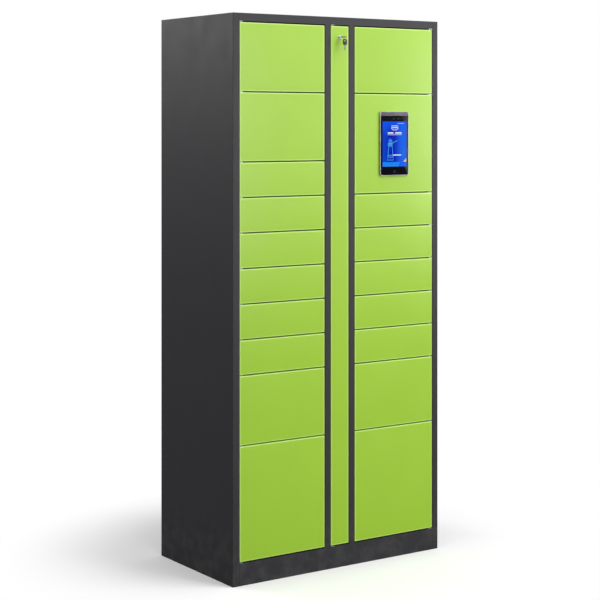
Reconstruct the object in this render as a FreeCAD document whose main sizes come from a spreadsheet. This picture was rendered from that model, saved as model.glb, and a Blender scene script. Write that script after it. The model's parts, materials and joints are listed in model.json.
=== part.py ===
import FreeCAD, Part
import os
import re

import Sketcher

# Parcel locker: a floor-standing cabinet of folded steel sheet with two columns of hinged doors.
# A narrow service channel stands between the columns. It holds the electric latches of all doors
# behind a tall service door with a cam lock. One door of the right column carries a touch terminal.
#
# Frame: the origin is the middle of the base on the floor. +X is to the right as seen from the
# front, the doors face -Y, and +Z is up. "Off the middle" means the distance from the plane X = 0.

SIZES = [
    # the cabinet
    ("width", 907),
    ("depth", 500),
    ("height", 1980),
    ("sheet", 1.2),
    ("bend_radius", 1.5),
    ("side_frame", 25.5),
    ("front_return", 20),
    ("rear_flange", 20),
    ("plinth_height", 78),
    ("plinth_foot", 30),
    ("plinth_lap", 40),
    ("header_height", 28),
    ("shelf_setback", 23),
    ("shelf_flange", 12),
    ("floor_setback", 21),
    ("floor_flange", 20),
    ("top_flange", 18),
    ("top_flange_inset", 4),
    # the service channel between the columns
    ("post_inner", 41),
    ("post_outer", 65),
    ("post_return", 25),
    ("window_margin", 1),
    # doors, all flush with the frame
    ("seam", 4),
    ("side_seam", 2),
    ("door_depth", 18),
    ("door_edge_radius", 2),
    ("large_door", 399),
    ("medium_door", 239),
    ("small_door", 119),
    ("terminal_door", 362),
    ("stiffener_length", 240),
    ("stiffener_width", 30),
    ("stiffener_depth", 12),
    ("service_door_depth", 14),
    # pivots: the axis of each door, measured from its outer edge and from its front face
    ("pivot_inset", 9),
    ("pivot_setback", 5),
    ("pivot_radius", 2.5),
    ("pivot_clearance", 0.05),
    ("pivot_reach", 6),
    ("tab_thickness", 1.6),
    ("tab_length", 16),
    ("tab_width", 13),
    ("tab_setback", 1),
    # electric latches: the hook's axis, measured off the middle and from the front plane
    ("hook_off_middle", 56),
    ("hook_setback", 42),
    ("hook_length", 22),
    ("hook_width", 5),
    ("hook_thickness", 5),
    ("hub_radius", 6),
    ("hook_pin_radius", 2),
    ("case_width", 20),
    ("case_length", 70),
    ("case_height", 44),
    ("case_front", 14),
    ("cavity_front", 8),
    ("cavity_back", 28),
    ("cavity_width", 15.3),
    ("cavity_height", 8),
    ("striker_off_pivot", 18),
    ("striker_sheet", 2),
    ("striker_height", 30),
    ("striker_foot", 22),
    ("striker_end", 64),
    ("striker_window_near", 37.5),
    ("striker_window_far", 58),
    ("striker_window_height", 9),
    # cam lock in the service door
    ("lock_below_top", 40),
    ("lock_rim_radius", 8),
    ("lock_rim_height", 2),
    ("lock_barrel_radius", 6.5),
    ("lock_barrel_length", 28),
    ("lock_hole_clearance", 0.1),
    ("lock_nut_radius", 11),
    ("lock_nut_height", 5),
    ("plug_radius", 4.45),
    ("plug_clearance", 0.05),
    ("plug_proud", 0.6),
    ("cam_length", 50),
    ("cam_width", 14),
    ("cam_thickness", 2),
    ("cam_gap", 1),
    ("keyway_width", 7.4),
    ("keyway_height", 2),
    ("keyway_depth", 10),
    # keys and ring
    ("blade_width", 7),
    ("blade_thickness", 1.8),
    ("blade_length", 8),
    ("blade_root", 2),
    ("bow_width", 20.5),
    ("bow_length", 23),
    ("bow_thickness", 2.5),
    ("bow_start", 10),
    ("bow_neck_inset", 2),
    ("bow_hole_radius", 2.65),
    ("bow_hole_inset", 6.4),
    ("ring_radius", 7),
    ("ring_wire", 0.7),
    ("ring_clearance", 0.2),
    # touch terminal
    ("terminal_off_middle", 243.5),
    ("terminal_width", 133),
    ("terminal_height", 237),
    ("terminal_depth", 7),
    ("terminal_corner", 10),
    ("terminal_edge_radius", 1),
    ("terminal_wall", 2),
    ("terminal_band", 16),
    ("glass_margin", 2.2),
    ("glass_thickness", 1.2),
    ("glass_gap", 0.2),
    ("glass_corner", 8),
    # electronics and services
    ("controller_width", 180),
    ("controller_depth", 60),
    ("controller_height", 220),
    ("controller_edge_radius", 3),
    ("entry_height", 140),
    ("entry_radius", 12.5),
    ("grommet_bore", 8),
    ("grommet_rim_radius", 17),
    ("grommet_rim_height", 2.5),
    ("grommet_gap", 0.1),
    # floor anchors
    ("anchor_leg", 40),
    ("anchor_sheet", 2.5),
    ("anchor_length", 440),
    ("anchor_rear_gap", 10),
    ("anchor_hole_radius", 6),
    ("anchor_spacing_across", 852),
    ("anchor_spacing_deep", 340),
    # how far a cutting body runs past what it cuts
    ("overcut", 1),
]

# Door heights from the bottom up. Both columns fill the same height.
LEFT_DOORS = ["large_door", "medium_door"] + ["small_door"] * 6 + ["medium_door"] * 2
RIGHT_DOORS = ["large_door", "medium_door"] + ["small_door"] * 5 + ["terminal_door", "medium_door"]
TERMINAL_ROW = 7
LEFT, RIGHT = -1, 1
TOLERANCE = 0.01
PARALLEL = 0.999

doc = FreeCAD.newDocument("parcel_locker")
sizes = doc.addObject("Spreadsheet::Sheet", "sizes")
for row, (alias, number) in enumerate(SIZES, start=1):
    sizes.set(f"A{row}", alias)
    sizes.set(f"B{row}", str(number))
    sizes.setAlias(f"B{row}", alias)
doc.recompute()

parts = []


def formula(text):
    """The same formula with each size read from the sheet."""
    return re.sub(r"[a-z_]+", lambda word: "sizes." + word.group(), text)


def value(text):
    return float(sizes.evalExpression(formula(text)))


def bind(item, name, text):
    item.setExpression(name, formula(text))


def place(item, x="0", y="0", z="0"):
    for axis, text in zip("xyz", (x, y, z)):
        bind(item, "Placement.Base." + axis, text)
    return item


def finish(item, label):
    """Makes the item a sub-part of its own, named after what it is."""
    item.Label = label
    parts.append(item)
    return item


def outward(side, near, far):
    """Limits along X of what lies between near and far off the middle, on one side."""
    return (near, far) if side == RIGHT else (f"-({far})", f"-({near})")


def block(name, x, y, z):
    """A block between two limits along each axis."""
    item = doc.addObject("Part::Box", name)
    for edge, axis, (low, high) in zip(("Length", "Width", "Height"), "xyz", (x, y, z)):
        bind(item, edge, f"({high}) - ({low})")
        bind(item, "Placement.Base." + axis, low)
    return item


def rod(name, radius, low, high, x="0", y="0", along="Z"):
    """A cylinder between two limits along Z, or along Y for a rod that lies front to back."""
    item = doc.addObject("Part::Cylinder", name)
    bind(item, "Radius", radius)
    bind(item, "Height", f"({high}) - ({low})")
    if along == "Z":
        return place(item, x, y, low)
    item.Placement = FreeCAD.Placement(FreeCAD.Vector(), FreeCAD.Rotation(FreeCAD.Vector(1, 0, 0), -90))
    return place(item, x, low, y)


def cut(name, base, tool):
    item = doc.addObject("Part::Cut", name)
    item.Base = base
    item.Tool = tool
    return item


def fuse(name, items):
    item = doc.addObject("Part::MultiFuse", name)
    item.Shapes = items
    item.Refine = True
    return item


def group(name, items):
    """Separate solids kept together as one sub-part."""
    item = doc.addObject("Part::Compound", name)
    item.Links = items
    return item


def origin_plane(body, role):
    return next(item for item in body.Origin.OriginFeatures if item.Role == role)


def new_sketch(body, name, role):
    sketch = body.newObject("Sketcher::SketchObject", name)
    sketch.AttachmentSupport = (origin_plane(body, role), [""])
    sketch.MapMode = "FlatFace"
    return sketch


def pin_point(sketch, line, point, x, y):
    """Holds one end of a line at a place given by two formulas."""
    for kind, text in (("DistanceX", x), ("DistanceY", y)):
        if abs(value(text)) < TOLERANCE:
            target = Sketcher.Constraint("PointOnObject", line, point, -2 if kind == "DistanceX" else -1)
            sketch.addConstraint(target)
        else:
            index = sketch.addConstraint(Sketcher.Constraint(kind, -1, 1, line, point, value(text)))
            bind(sketch, f"Constraints[{index}]", text)


def draw_outline(sketch, corners):
    """A closed outline of straight lines through corners that are pairs of formulas."""
    spots = [FreeCAD.Vector(value(x), value(y), 0) for x, y in corners]
    lines = [sketch.addGeometry(Part.LineSegment(a, b)) for a, b in zip(spots, spots[1:] + spots[:1])]
    for line, after in zip(lines, lines[1:] + lines[:1]):
        sketch.addConstraint(Sketcher.Constraint("Coincident", line, 2, after, 1))
    for line, (x, y) in zip(lines, corners):
        pin_point(sketch, line, 1, x, y)


def draw_circle(sketch, radius, x, y):
    centre = FreeCAD.Vector(value(x), value(y), 0)
    circle = sketch.addGeometry(Part.Circle(centre, FreeCAD.Vector(0, 0, 1), value(radius)))
    index = sketch.addConstraint(Sketcher.Constraint("Radius", circle, value(radius)))
    bind(sketch, f"Constraints[{index}]", radius)
    pin_point(sketch, circle, 3, x, y)


def rectangle(x, y):
    return [(x[0], y[0]), (x[1], y[0]), (x[1], y[1]), (x[0], y[1])]


def padded(name, role, corners, length, middle=False, reverse=False):
    """A body whose first feature is an outline in an origin plane, padded along the normal."""
    body = doc.addObject("PartDesign::Body", name)
    sketch = new_sketch(body, name + "_outline", role)
    draw_outline(sketch, corners)
    pad = body.newObject("PartDesign::Pad", name + "_pad")
    pad.Profile = sketch
    bind(pad, "Length", length)
    pad.Midplane = middle
    pad.Reversed = reverse
    doc.recompute()
    return body, pad


def round_edges(body, base, radius, chosen):
    """Rounds the edges of the base feature that the test picks out."""
    names = [f"Edge{i}" for i, edge in enumerate(base.Shape.Edges, start=1) if chosen(edge)]
    feature = body.newObject("PartDesign::Fillet", body.Name + "_round")
    feature.Base = (base, names)
    bind(feature, "Radius", radius)
    body.Tip = feature
    doc.recompute()
    return feature


def pocket(body, name, role, draw, middle=True, length=None, reverse=False, offset=None):
    """Cuts what draw puts into a new sketch out of the body, and checks that something went."""
    before = body.Shape.Volume
    sketch = new_sketch(body, name + "_outline", role)
    if offset:
        bind(sketch, "AttachmentOffset.Base.z", offset)
    draw(sketch)
    feature = body.newObject("PartDesign::Pocket", name)
    feature.Profile = sketch
    feature.Reversed = reverse
    feature.Midplane = middle
    if length:
        bind(feature, "Length", length)
    else:
        feature.Type = "ThroughAll"
    body.Tip = feature
    doc.recompute()
    if body.Shape.Volume > before - TOLERANCE:
        raise RuntimeError(name + " removed nothing")
    return feature


def upright(edge):
    return abs(edge.tangentAt(edge.FirstParameter).z) > PARALLEL


def at_bend(edge, spots):
    """True for an upright edge that stands on one of the given points of the XY plane."""
    middle = edge.CenterOfMass
    return upright(edge) and any(abs(middle.x - x) + abs(middle.y - y) < TOLERANCE for x, y in spots)


# ---- folded cabinet ------------------------------------------------------------------------


def side_panel(side, label):
    """Outer wall with the front frame folded in and back, and a flange at the rear."""
    across = [
        ("0", "-depth/2"),
        ("side_frame", "-depth/2"),
        ("side_frame", "-depth/2 + front_return"),
        ("side_frame - sheet", "-depth/2 + front_return"),
        ("side_frame - sheet", "-depth/2 + sheet"),
        ("sheet", "-depth/2 + sheet"),
        ("sheet", "depth/2 - sheet"),
        ("rear_flange", "depth/2 - sheet"),
        ("rear_flange", "depth/2"),
        ("0", "depth/2"),
    ]
    corners = [(f"{side}*(width/2 - ({inset}))", y) for inset, y in across]
    body, pad = padded(label, "XY_Plane", corners, "height - sheet")
    bends = [(value(corners[i][0]), value(corners[i][1])) for i in (0, 1, 9)]
    round_edges(body, pad, "bend_radius", lambda edge: at_bend(edge, bends))
    return finish(place(body), label)


def latch_heights(doors):
    """The middle of each door of a column, as formulas."""
    heights, low = [], "plinth_height + seam"
    for door in doors:
        heights.append(f"{low} + {door}/2")
        low += f" + {door} + seam"
    return heights


def seam_heights(doors):
    """The middle of each seam between two doors of a column, as formulas."""
    low, heights = "plinth_height + seam", []
    for door in doors[:-1]:
        low += f" + {door} + seam"
        heights.append(f"{low} - seam/2")
    return heights


def door_bottoms(doors):
    bottoms, low = [], "plinth_height + seam"
    for door in doors:
        bottoms.append(low)
        low += f" + {door} + seam"
    return bottoms


def post(side, doors, label):
    """Front post folded back into the wall between a column and the service channel."""
    section = [
        ("post_inner", "-depth/2"),
        ("post_outer", "-depth/2"),
        ("post_outer", "depth/2 - 2*sheet"),
        ("post_outer - rear_flange", "depth/2 - 2*sheet"),
        ("post_outer - rear_flange", "depth/2 - 3*sheet"),
        ("post_outer - sheet", "depth/2 - 3*sheet"),
        ("post_outer - sheet", "-depth/2 + sheet"),
        ("post_inner + sheet", "-depth/2 + sheet"),
        ("post_inner + sheet", "-depth/2 + post_return"),
        ("post_inner", "-depth/2 + post_return"),
    ]
    corners = [(f"{side}*({x})", y) for x, y in section]
    body, pad = padded(label + "_fold", "XY_Plane", corners, "height - plinth_height")
    bends = [(value(x), value(y)) for x, y in corners[:2]]
    round_edges(body, pad, "bend_radius", lambda edge: at_bend(edge, bends))
    place(body, z="plinth_height - sheet")
    across = outward(side, "post_inner - overcut", "post_outer + overcut")
    front = "-depth/2 - overcut"
    tools = [
        block(label + "_foot_notch", across, (front, "-depth/2 + plinth_lap + overcut"),
              ("plinth_height - sheet - overcut", "plinth_height")),
        block(label + "_head_notch", across, (front, "-depth/2 + front_return + overcut"),
              ("height - header_height", "height")),
    ]
    hook_axis = "-depth/2 + hook_setback"
    deep = (f"{hook_axis} - cavity_front + window_margin", f"{hook_axis} + cavity_back - window_margin")
    wall = outward(side, "post_outer - sheet - overcut", "post_outer + overcut")
    for row, middle in enumerate(latch_heights(doors), start=1):
        up = (f"{middle} - cavity_height/2", f"{middle} + cavity_height/2")
        tools.append(block(f"{label}_window_{row}", wall, deep, up))
    return finish(cut(label, body, group(label + "_openings", tools)), label)


def rail(label, section, low):
    """A folded rail that runs across the front between the two side frames."""
    body, _ = padded(label, "YZ_Plane", section, "width - 2*side_frame", middle=True)
    return finish(place(body, z=low), label)


def header_rail():
    section = [
        ("-depth/2", "0"),
        ("-depth/2 + front_return", "0"),
        ("-depth/2 + front_return", "sheet"),
        ("-depth/2 + sheet", "sheet"),
        ("-depth/2 + sheet", "header_height - 2*sheet"),
        ("-depth/2 + front_return", "header_height - 2*sheet"),
        ("-depth/2 + front_return", "header_height - sheet"),
        ("-depth/2", "header_height - sheet"),
    ]
    return rail("header_rail", section, "height - header_height")


def plinth_rail():
    section = [
        ("-depth/2", "0"),
        ("-depth/2 + plinth_foot", "0"),
        ("-depth/2 + plinth_foot", "sheet"),
        ("-depth/2 + sheet", "sheet"),
        ("-depth/2 + sheet", "plinth_height - sheet"),
        ("-depth/2 + plinth_lap", "plinth_height - sheet"),
        ("-depth/2 + plinth_lap", "plinth_height"),
        ("-depth/2", "plinth_height"),
    ]
    return rail("plinth_rail", section, "0")


def tray(name, x, y, flange):
    """A sheet whose four edges are folded down; its top is at Z = 0."""
    inner_x = (f"{x[0]} + sheet", f"{x[1]} - sheet")
    inner_y = (f"{y[0]} + sheet", f"{y[1]} - sheet")
    outer = block(name + "_outer", x, y, (f"-({flange})", "0"))
    inner = block(name + "_hollow", inner_x, inner_y, (f"-({flange}) - overcut", "-sheet"))
    return cut(name, outer, inner)


def floor_panel():
    across = ("-width/2 + sheet", "width/2 - sheet")
    deep = ("-depth/2 + floor_setback", "depth/2 - 2*sheet")
    item = tray("floor_panel", across, deep, "floor_flange")
    return finish(place(item, z="plinth_height - sheet"), "floor_panel")


def top_panel():
    """Cover sheet over the whole cabinet with a flange down inside each side."""
    sheets = [block("top_sheet", ("-width/2", "width/2"), ("-depth/2", "depth/2"), ("-sheet", "0"))]
    for side, name in ((LEFT, "left"), (RIGHT, "right")):
        across = outward(side, "width/2 - 2*sheet", "width/2 - sheet")
        deep = ("-depth/2 + front_return + top_flange_inset", "depth/2 - top_flange_inset")
        sheets.append(block(f"top_{name}_flange", across, deep, ("-top_flange", "-sheet/2")))
    return finish(place(fuse("top_panel", sheets), z="height"), "top_panel")


def back_panel():
    """Flat rear sheet inside the flanges of the side panels, with one round cable entry near the
    foot of the service channel."""
    corners = rectangle(("-width/2 + sheet", "width/2 - sheet"), ("0", "height - sheet"))
    body, _ = padded("back_panel", "XZ_Plane", corners, "sheet")
    pocket(body, "cable_entry", "XZ_Plane", lambda s: draw_circle(s, "entry_radius", "0", "entry_height"))
    return finish(place(body, y="depth/2 - sheet"), "back_panel")


def shelves():
    """One folded shelf behind each seam between two doors of both columns."""
    across_left = ("-width/2 + sheet", "-post_outer")
    across_right = ("post_outer", "width/2 - sheet")
    deep = ("-depth/2 + shelf_setback", "depth/2 - 2*sheet")
    made = []
    for name, doors, across in (("left", LEFT_DOORS, across_left), ("right", RIGHT_DOORS, across_right)):
        for row, middle in enumerate(seam_heights(doors), start=1):
            item = tray(f"{name}_shelf_{row}", across, deep, "shelf_flange")
            made.append(place(item, z=f"{middle} + sheet/2"))
    return finish(group("shelves", made), "shelves")


def floor_anchors():
    """Two angles inside the foot of the side panels with holes for the floor bolts."""
    made = []
    for side, name in ((LEFT, "left"), (RIGHT, "right")):
        edge = "(width/2 - sheet)"
        deep = ("depth/2 - anchor_rear_gap - anchor_length", "depth/2 - anchor_rear_gap")
        legs = [
            block(name + "_anchor_foot", outward(side, f"{edge} - anchor_leg", edge), deep,
                  ("0", "anchor_sheet")),
            block(name + "_anchor_wall", outward(side, f"{edge} - anchor_sheet", edge), deep,
                  ("anchor_sheet/2", "anchor_leg")),
        ]
        holes = [
            rod(f"{name}_anchor_hole_{end}", "anchor_hole_radius", "-overcut", "anchor_sheet + overcut",
                f"{side}*anchor_spacing_across/2", f"{end}*anchor_spacing_deep/2")
            for end in (-1, 1)
        ]
        angle = fuse(name + "_anchor_angle", legs)
        made.append(cut(name + "_floor_anchor", angle, group(name + "_anchor_holes", holes)))
    return finish(group("floor_anchors", made), "floor_anchors")


# ---- doors ---------------------------------------------------------------------------------


def door_pan(name, side, width, tall, depth):
    """A pan folded from one sheet. Its frame is the pivot axis at the bottom edge of the door,
    and it reaches away from the outer edge on the given side."""
    across = (f"{side}*(-pivot_inset)", f"{side}*(({width}) - pivot_inset)")
    body, pad = padded(name, "XZ_Plane", rectangle(across, ("0", tall)), depth, reverse=True)
    blank = round_edges(body, pad, "door_edge_radius", lambda edge: edge.BoundBox.YMax < TOLERANCE)
    shell = body.newObject("PartDesign::Thickness", name + "_shell")
    faces = blank.Shape.Faces
    back = max(range(len(faces)), key=lambda i: faces[i].CenterOfMass.y)
    shell.Base = (blank, [f"Face{back + 1}"])
    shell.Reversed = True
    bind(shell, "Value", "sheet")
    body.Tip = shell
    doc.recompute()
    pocket(body, name + "_pivot_holes", "XY_Plane",
           lambda s: draw_circle(s, "pivot_radius + pivot_clearance", "0", "pivot_setback"))
    return body


def striker(name, side, width, tall):
    """Angle on the free side of a door whose window takes the latch hook."""
    hook_past_wall = "(striker_off_pivot - (post_outer - hook_off_middle))"
    edge = f"({width}) - pivot_inset - {hook_past_wall} + side_seam"
    middle = f"({tall})/2"
    up = (f"{middle} - striker_height/2", f"{middle} + striker_height/2")

    plate_across = outward(side, f"{edge} - striker_sheet", edge)
    foot_across = outward(side, f"{edge} - striker_foot", edge)
    window_across = outward(side, f"{edge} - striker_sheet - overcut", f"{edge} + overcut")
    plate = block(name + "_plate", plate_across, ("sheet", "striker_end"), up)
    foot = block(name + "_foot", foot_across, ("sheet", "sheet + striker_sheet"), up)
    window = block(name + "_window", window_across,
                   ("striker_window_near", "striker_window_far"),
                   (f"{middle} - striker_window_height/2", f"{middle} + striker_window_height/2"))
    return cut(name, fuse(name + "_angle", [plate, foot]), window)


def stiffener(name, side, width, tall):
    """Channel welded across the middle of a door's inside."""
    middle = f"({tall})/2"
    start = f"{side}*(({width})/2 - pivot_inset) - stiffener_length/2"
    across = (start, f"{start} + stiffener_length")
    up = (f"{middle} - stiffener_width/2", f"{middle} + stiffener_width/2")
    outer = block(name + "_outer", across, ("sheet", "sheet + stiffener_depth"), up)
    hollow = block(name + "_hollow", (f"{start} - overcut", f"{start} + stiffener_length + overcut"),
                   ("0", "stiffener_depth"), (f"{up[0]} + sheet", f"{up[1]} - sheet"))
    return cut(name, outer, hollow)


DOOR_WIDTH = "width/2 - side_frame - 2*side_seam - post_outer"
PIVOT_OFF_MIDDLE = "width/2 - side_frame - side_seam - pivot_inset"


def column(side, doors, word):
    for row, (tall, low) in enumerate(zip(doors, door_bottoms(doors)), start=1):
        has_terminal = side == RIGHT and row == TERMINAL_ROW + 1
        label = "terminal_door" if has_terminal else f"{word}_door_{row:02d}"
        # a door reaches from its pivot towards the middle of the cabinet
        pieces = [
            door_pan(label + "_pan", -side, DOOR_WIDTH, tall, "door_depth"),
            striker(label + "_striker", -side, DOOR_WIDTH, tall),
            stiffener(label + "_stiffener", -side, DOOR_WIDTH, tall),
        ]
        door = group(label, pieces)
        place(door, f"{side}*({PIVOT_OFF_MIDDLE})", "-depth/2", low)
        finish(door, label)


SERVICE_WIDTH = "2*post_inner - 2*side_seam"
SERVICE_PIVOT = "-post_inner + side_seam + pivot_inset"
SERVICE_HEIGHT = "height - header_height - plinth_height - 2*seam"
LOCK_HEIGHT = "height - header_height - seam - lock_below_top"


def service_door():
    body = door_pan("service_door", RIGHT, SERVICE_WIDTH, SERVICE_HEIGHT, "service_door_depth")
    pocket(body, "service_door_lock_hole", "XZ_Plane", lambda s: draw_circle(
        s, "lock_barrel_radius + lock_hole_clearance", f"-({SERVICE_PIVOT})",
        f"{SERVICE_HEIGHT} - lock_below_top"))
    return finish(place(body, SERVICE_PIVOT, "-depth/2", "plinth_height + seam"), "service_door")


def hinge_pivots():
    """Pins in the seams above and below every door. Each tab is welded to the frame beside it."""
    made = []
    foot = ("plinth_height", "plinth_height + tab_thickness")
    head = ("height - header_height - tab_thickness", "height - header_height")
    spots = [("service", SERVICE_PIVOT, SERVICE_PIVOT, [])]
    for word, side, doors in (("left", LEFT, LEFT_DOORS), ("right", RIGHT, RIGHT_DOORS)):
        tab_middle = f"{side}*(width/2 - side_frame - tab_length/2)"
        spots.append((word, tab_middle, f"{side}*({PIVOT_OFF_MIDDLE})", seam_heights(doors)))
    deep = ("-depth/2 + tab_setback", "-depth/2 + tab_setback + tab_width")
    for word, tab_x, pin_x, seams in spots:
        across = (f"{tab_x} - tab_length/2", f"{tab_x} + tab_length/2")
        # each row: the tab's limits, then how far its pin reaches up and down
        rows = [(foot, "pivot_reach", "0")]
        for seam in seams:
            level = (f"{seam} - tab_thickness/2", f"{seam} + tab_thickness/2")
            rows.append((level, "pivot_reach", "pivot_reach"))
        rows.append((head, "0", "pivot_reach"))
        for row, ((low, high), up, down) in enumerate(rows):
            name = f"{word}_pivot_{row}"
            tab = block(name + "_tab", across, deep, (low, high))
            pin = rod(name + "_pin", "pivot_radius", f"({low}) - ({down})", f"({high}) + ({up})",
                      pin_x, "-depth/2 + pivot_setback")
            made.append(fuse(name, [tab, pin]))
    return finish(group("hinge_pivots", made), "hinge_pivots")


# ---- latches -------------------------------------------------------------------------------


def latch_case(name, side):
    """Case on the channel side of the wall with a flat cavity for the hook and the hook's pin.
    Its frame is the hook's axis; the case reaches from the wall towards the middle."""
    wall = "(post_outer - sheet - hook_off_middle)"
    outer = block(name + "_outer", outward(side, f"{wall} - case_width", wall),
                  ("-case_front", "case_length - case_front"), ("-case_height/2", "case_height/2"))
    cavity = block(name + "_cavity", outward(side, f"{wall} - cavity_width", f"{wall} + overcut"),
                   ("-cavity_front", "cavity_back"), ("-cavity_height/2", "cavity_height/2"))
    pin = rod(name + "_pin", "hook_pin_radius", "-cavity_height", "cavity_height")
    return fuse(name, [cut(name + "_shell", outer, cavity), pin])


def latch_hook(name, side):
    """Rotary hook drawn back into its case. Its frame is its own axis."""
    half = ("-hook_thickness/2", "hook_thickness/2")
    hub = rod(name + "_hub", "hub_radius", *half)
    arm = block(name + "_arm", ("-hook_width/2", "hook_width/2"), ("0", "hook_length"), half)
    hole = rod(name + "_hole", "hook_pin_radius + pivot_clearance", "-hook_thickness", "hook_thickness")
    return cut(name, fuse(name + "_lever", [hub, arm]), hole)


def latches():
    cases = []
    for word, side, doors in (("left", LEFT, LEFT_DOORS), ("right", RIGHT, RIGHT_DOORS)):
        for row, middle in enumerate(latch_heights(doors), start=1):
            x, y = f"{side}*hook_off_middle", "-depth/2 + hook_setback"
            cases.append(place(latch_case(f"{word}_latch_case_{row:02d}", side), x, y, middle))
            label = f"{word}_latch_hook_{row:02d}"
            finish(place(latch_hook(label, side), x, y, middle), label)
    return finish(group("latch_cases", cases), "latch_cases")


# ---- cam lock and keys, in a frame at the lock's centre on the front plane -------------------


def cam_lock_barrel():
    """Rim, barrel and the hexagonal nut that clamps them to the service door."""
    rim = rod("lock_rim", "lock_rim_radius", "-lock_rim_height", "0", along="Y")
    barrel = rod("lock_barrel", "lock_barrel_radius", "-lock_rim_height", "lock_barrel_length", along="Y")
    bore = rod("lock_bore", "plug_radius + plug_clearance", "-lock_rim_height - overcut",
               "lock_barrel_length + overcut", along="Y")
    nut = doc.addObject("Part::Prism", "lock_nut")
    nut.Polygon = 6
    bind(nut, "Circumradius", "lock_nut_radius")
    bind(nut, "Height", "lock_nut_height")
    nut.Placement = FreeCAD.Placement(FreeCAD.Vector(), FreeCAD.Rotation(FreeCAD.Vector(1, 0, 0), -90))
    place(nut, y="sheet")
    nut_hole = rod("lock_nut_hole", "lock_barrel_radius + pivot_clearance", "0",
                   "sheet + lock_nut_height + overcut", along="Y")
    item = group("cam_lock_barrel", [
        cut("lock_body", fuse("lock_shell", [rim, barrel]), bore),
        cut("lock_ring_nut", nut, nut_hole),
    ])
    return finish(place(item, y="-depth/2", z=LOCK_HEIGHT), "cam_lock_barrel")


def cam_lock_core():
    """Plug with a level keyway, and the cam that hangs down from its inner end."""
    cam_front = "lock_barrel_length + cam_gap"
    plug = rod("lock_plug", "plug_radius", "-lock_rim_height - plug_proud",
               f"{cam_front} + cam_thickness", along="Y")
    cam = block("lock_cam", ("-cam_width/2", "cam_width/2"),
                (cam_front, f"{cam_front} + cam_thickness"),
                ("-cam_length", "cam_width/2"))
    keyway = block("lock_keyway", ("-keyway_width/2", "keyway_width/2"),
                   ("-lock_rim_height - plug_proud - overcut", "keyway_depth"),
                   ("-keyway_height/2", "keyway_height/2"))
    item = cut("cam_lock_core", fuse("lock_plug_and_cam", [plug, cam]), keyway)
    return finish(place(item, y="-depth/2", z=LOCK_HEIGHT), "cam_lock_core")


def flat_key(name):
    """A key lying flat in the XY plane. Its bow points to -Y and its blade to +Y;
    the frame is on the blade's axis where the lock's front plane would be."""
    blade = block(name + "_blade", ("-blade_width/2", "blade_width/2"),
                  ("-bow_start - blade_root", "blade_length"),
                  ("-blade_thickness/2", "blade_thickness/2"))
    bow = doc.addObject("Part::Cylinder", name + "_bow_round")
    bind(bow, "Radius", "bow_width/2")
    bind(bow, "Height", "bow_thickness")
    place(bow, "0", "-bow_start - bow_length + bow_width/2", "-bow_thickness/2")
    neck = block(name + "_bow_neck", ("-bow_width/2 + bow_neck_inset", "bow_width/2 - bow_neck_inset"),
                 ("-bow_start - bow_length + bow_width/2", "-bow_start"),
                 ("-bow_thickness/2", "bow_thickness/2"))
    hole = rod(name + "_bow_hole", "bow_hole_radius", "-bow_thickness", "bow_thickness",
               "0", "-bow_start - bow_length + bow_hole_inset")
    return cut(name, fuse(name + "_blank", [blade, bow, neck]), hole)


def key():
    return finish(place(flat_key("key"), y="-depth/2", z=LOCK_HEIGHT), "key")


def key_ring():
    """Wire ring through the bow of the key, with a spare key hanging upright from it."""
    ring = doc.addObject("Part::Torus", "wire_ring")
    bind(ring, "Radius1", "ring_radius")
    bind(ring, "Radius2", "ring_wire")
    ring.Placement = FreeCAD.Placement(FreeCAD.Vector(), FreeCAD.Rotation(FreeCAD.Vector(0, 1, 0), 90))
    spare = flat_key("spare_key")
    # the flat key turns so that its blade points down; its bow hole then takes the ring's foot
    spare.Placement = FreeCAD.Placement(FreeCAD.Vector(), FreeCAD.Rotation(FreeCAD.Vector(1, 0, 0), -90))
    hole_from_frame = "(bow_start + bow_length - bow_hole_inset)"
    foot_to_hole = "(ring_wire + ring_clearance - bow_hole_radius)"
    place(spare, z=f"-ring_radius + {foot_to_hole} - {hole_from_frame}")
    item = group("key_ring", [ring, spare])
    ring_y = "-depth/2 - bow_start - bow_length + bow_hole_inset/2 - bow_hole_radius/2"
    drop = "ring_radius - ring_wire - bow_thickness/2 - 2*ring_clearance"
    return finish(place(item, "0", ring_y, f"{LOCK_HEIGHT} - ({drop})"), "key_ring")


# ---- terminal and electronics ----------------------------------------------------------------


def plate(name, width, tall, thick, corner, only_low=False):
    """A flat plate with rounded corners, centred in X and Z, whose back lies in Y = 0."""
    across = (f"-({width})/2", f"({width})/2")
    up = (f"-({tall})/2", f"({tall})/2")
    body, pad = padded(name, "XZ_Plane", rectangle(across, up), thick)

    def is_corner(edge):
        deep = abs(edge.tangentAt(edge.FirstParameter).y) > PARALLEL
        return deep and (edge.CenterOfMass.z < 0 or not only_low)

    return body, round_edges(body, pad, corner, is_corner)


GLASS_WIDTH = "terminal_width - 2*glass_margin"
GLASS_HEIGHT = "terminal_height - glass_margin - terminal_band"
GLASS_SHIFT = "(glass_margin - terminal_band)/2"


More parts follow.
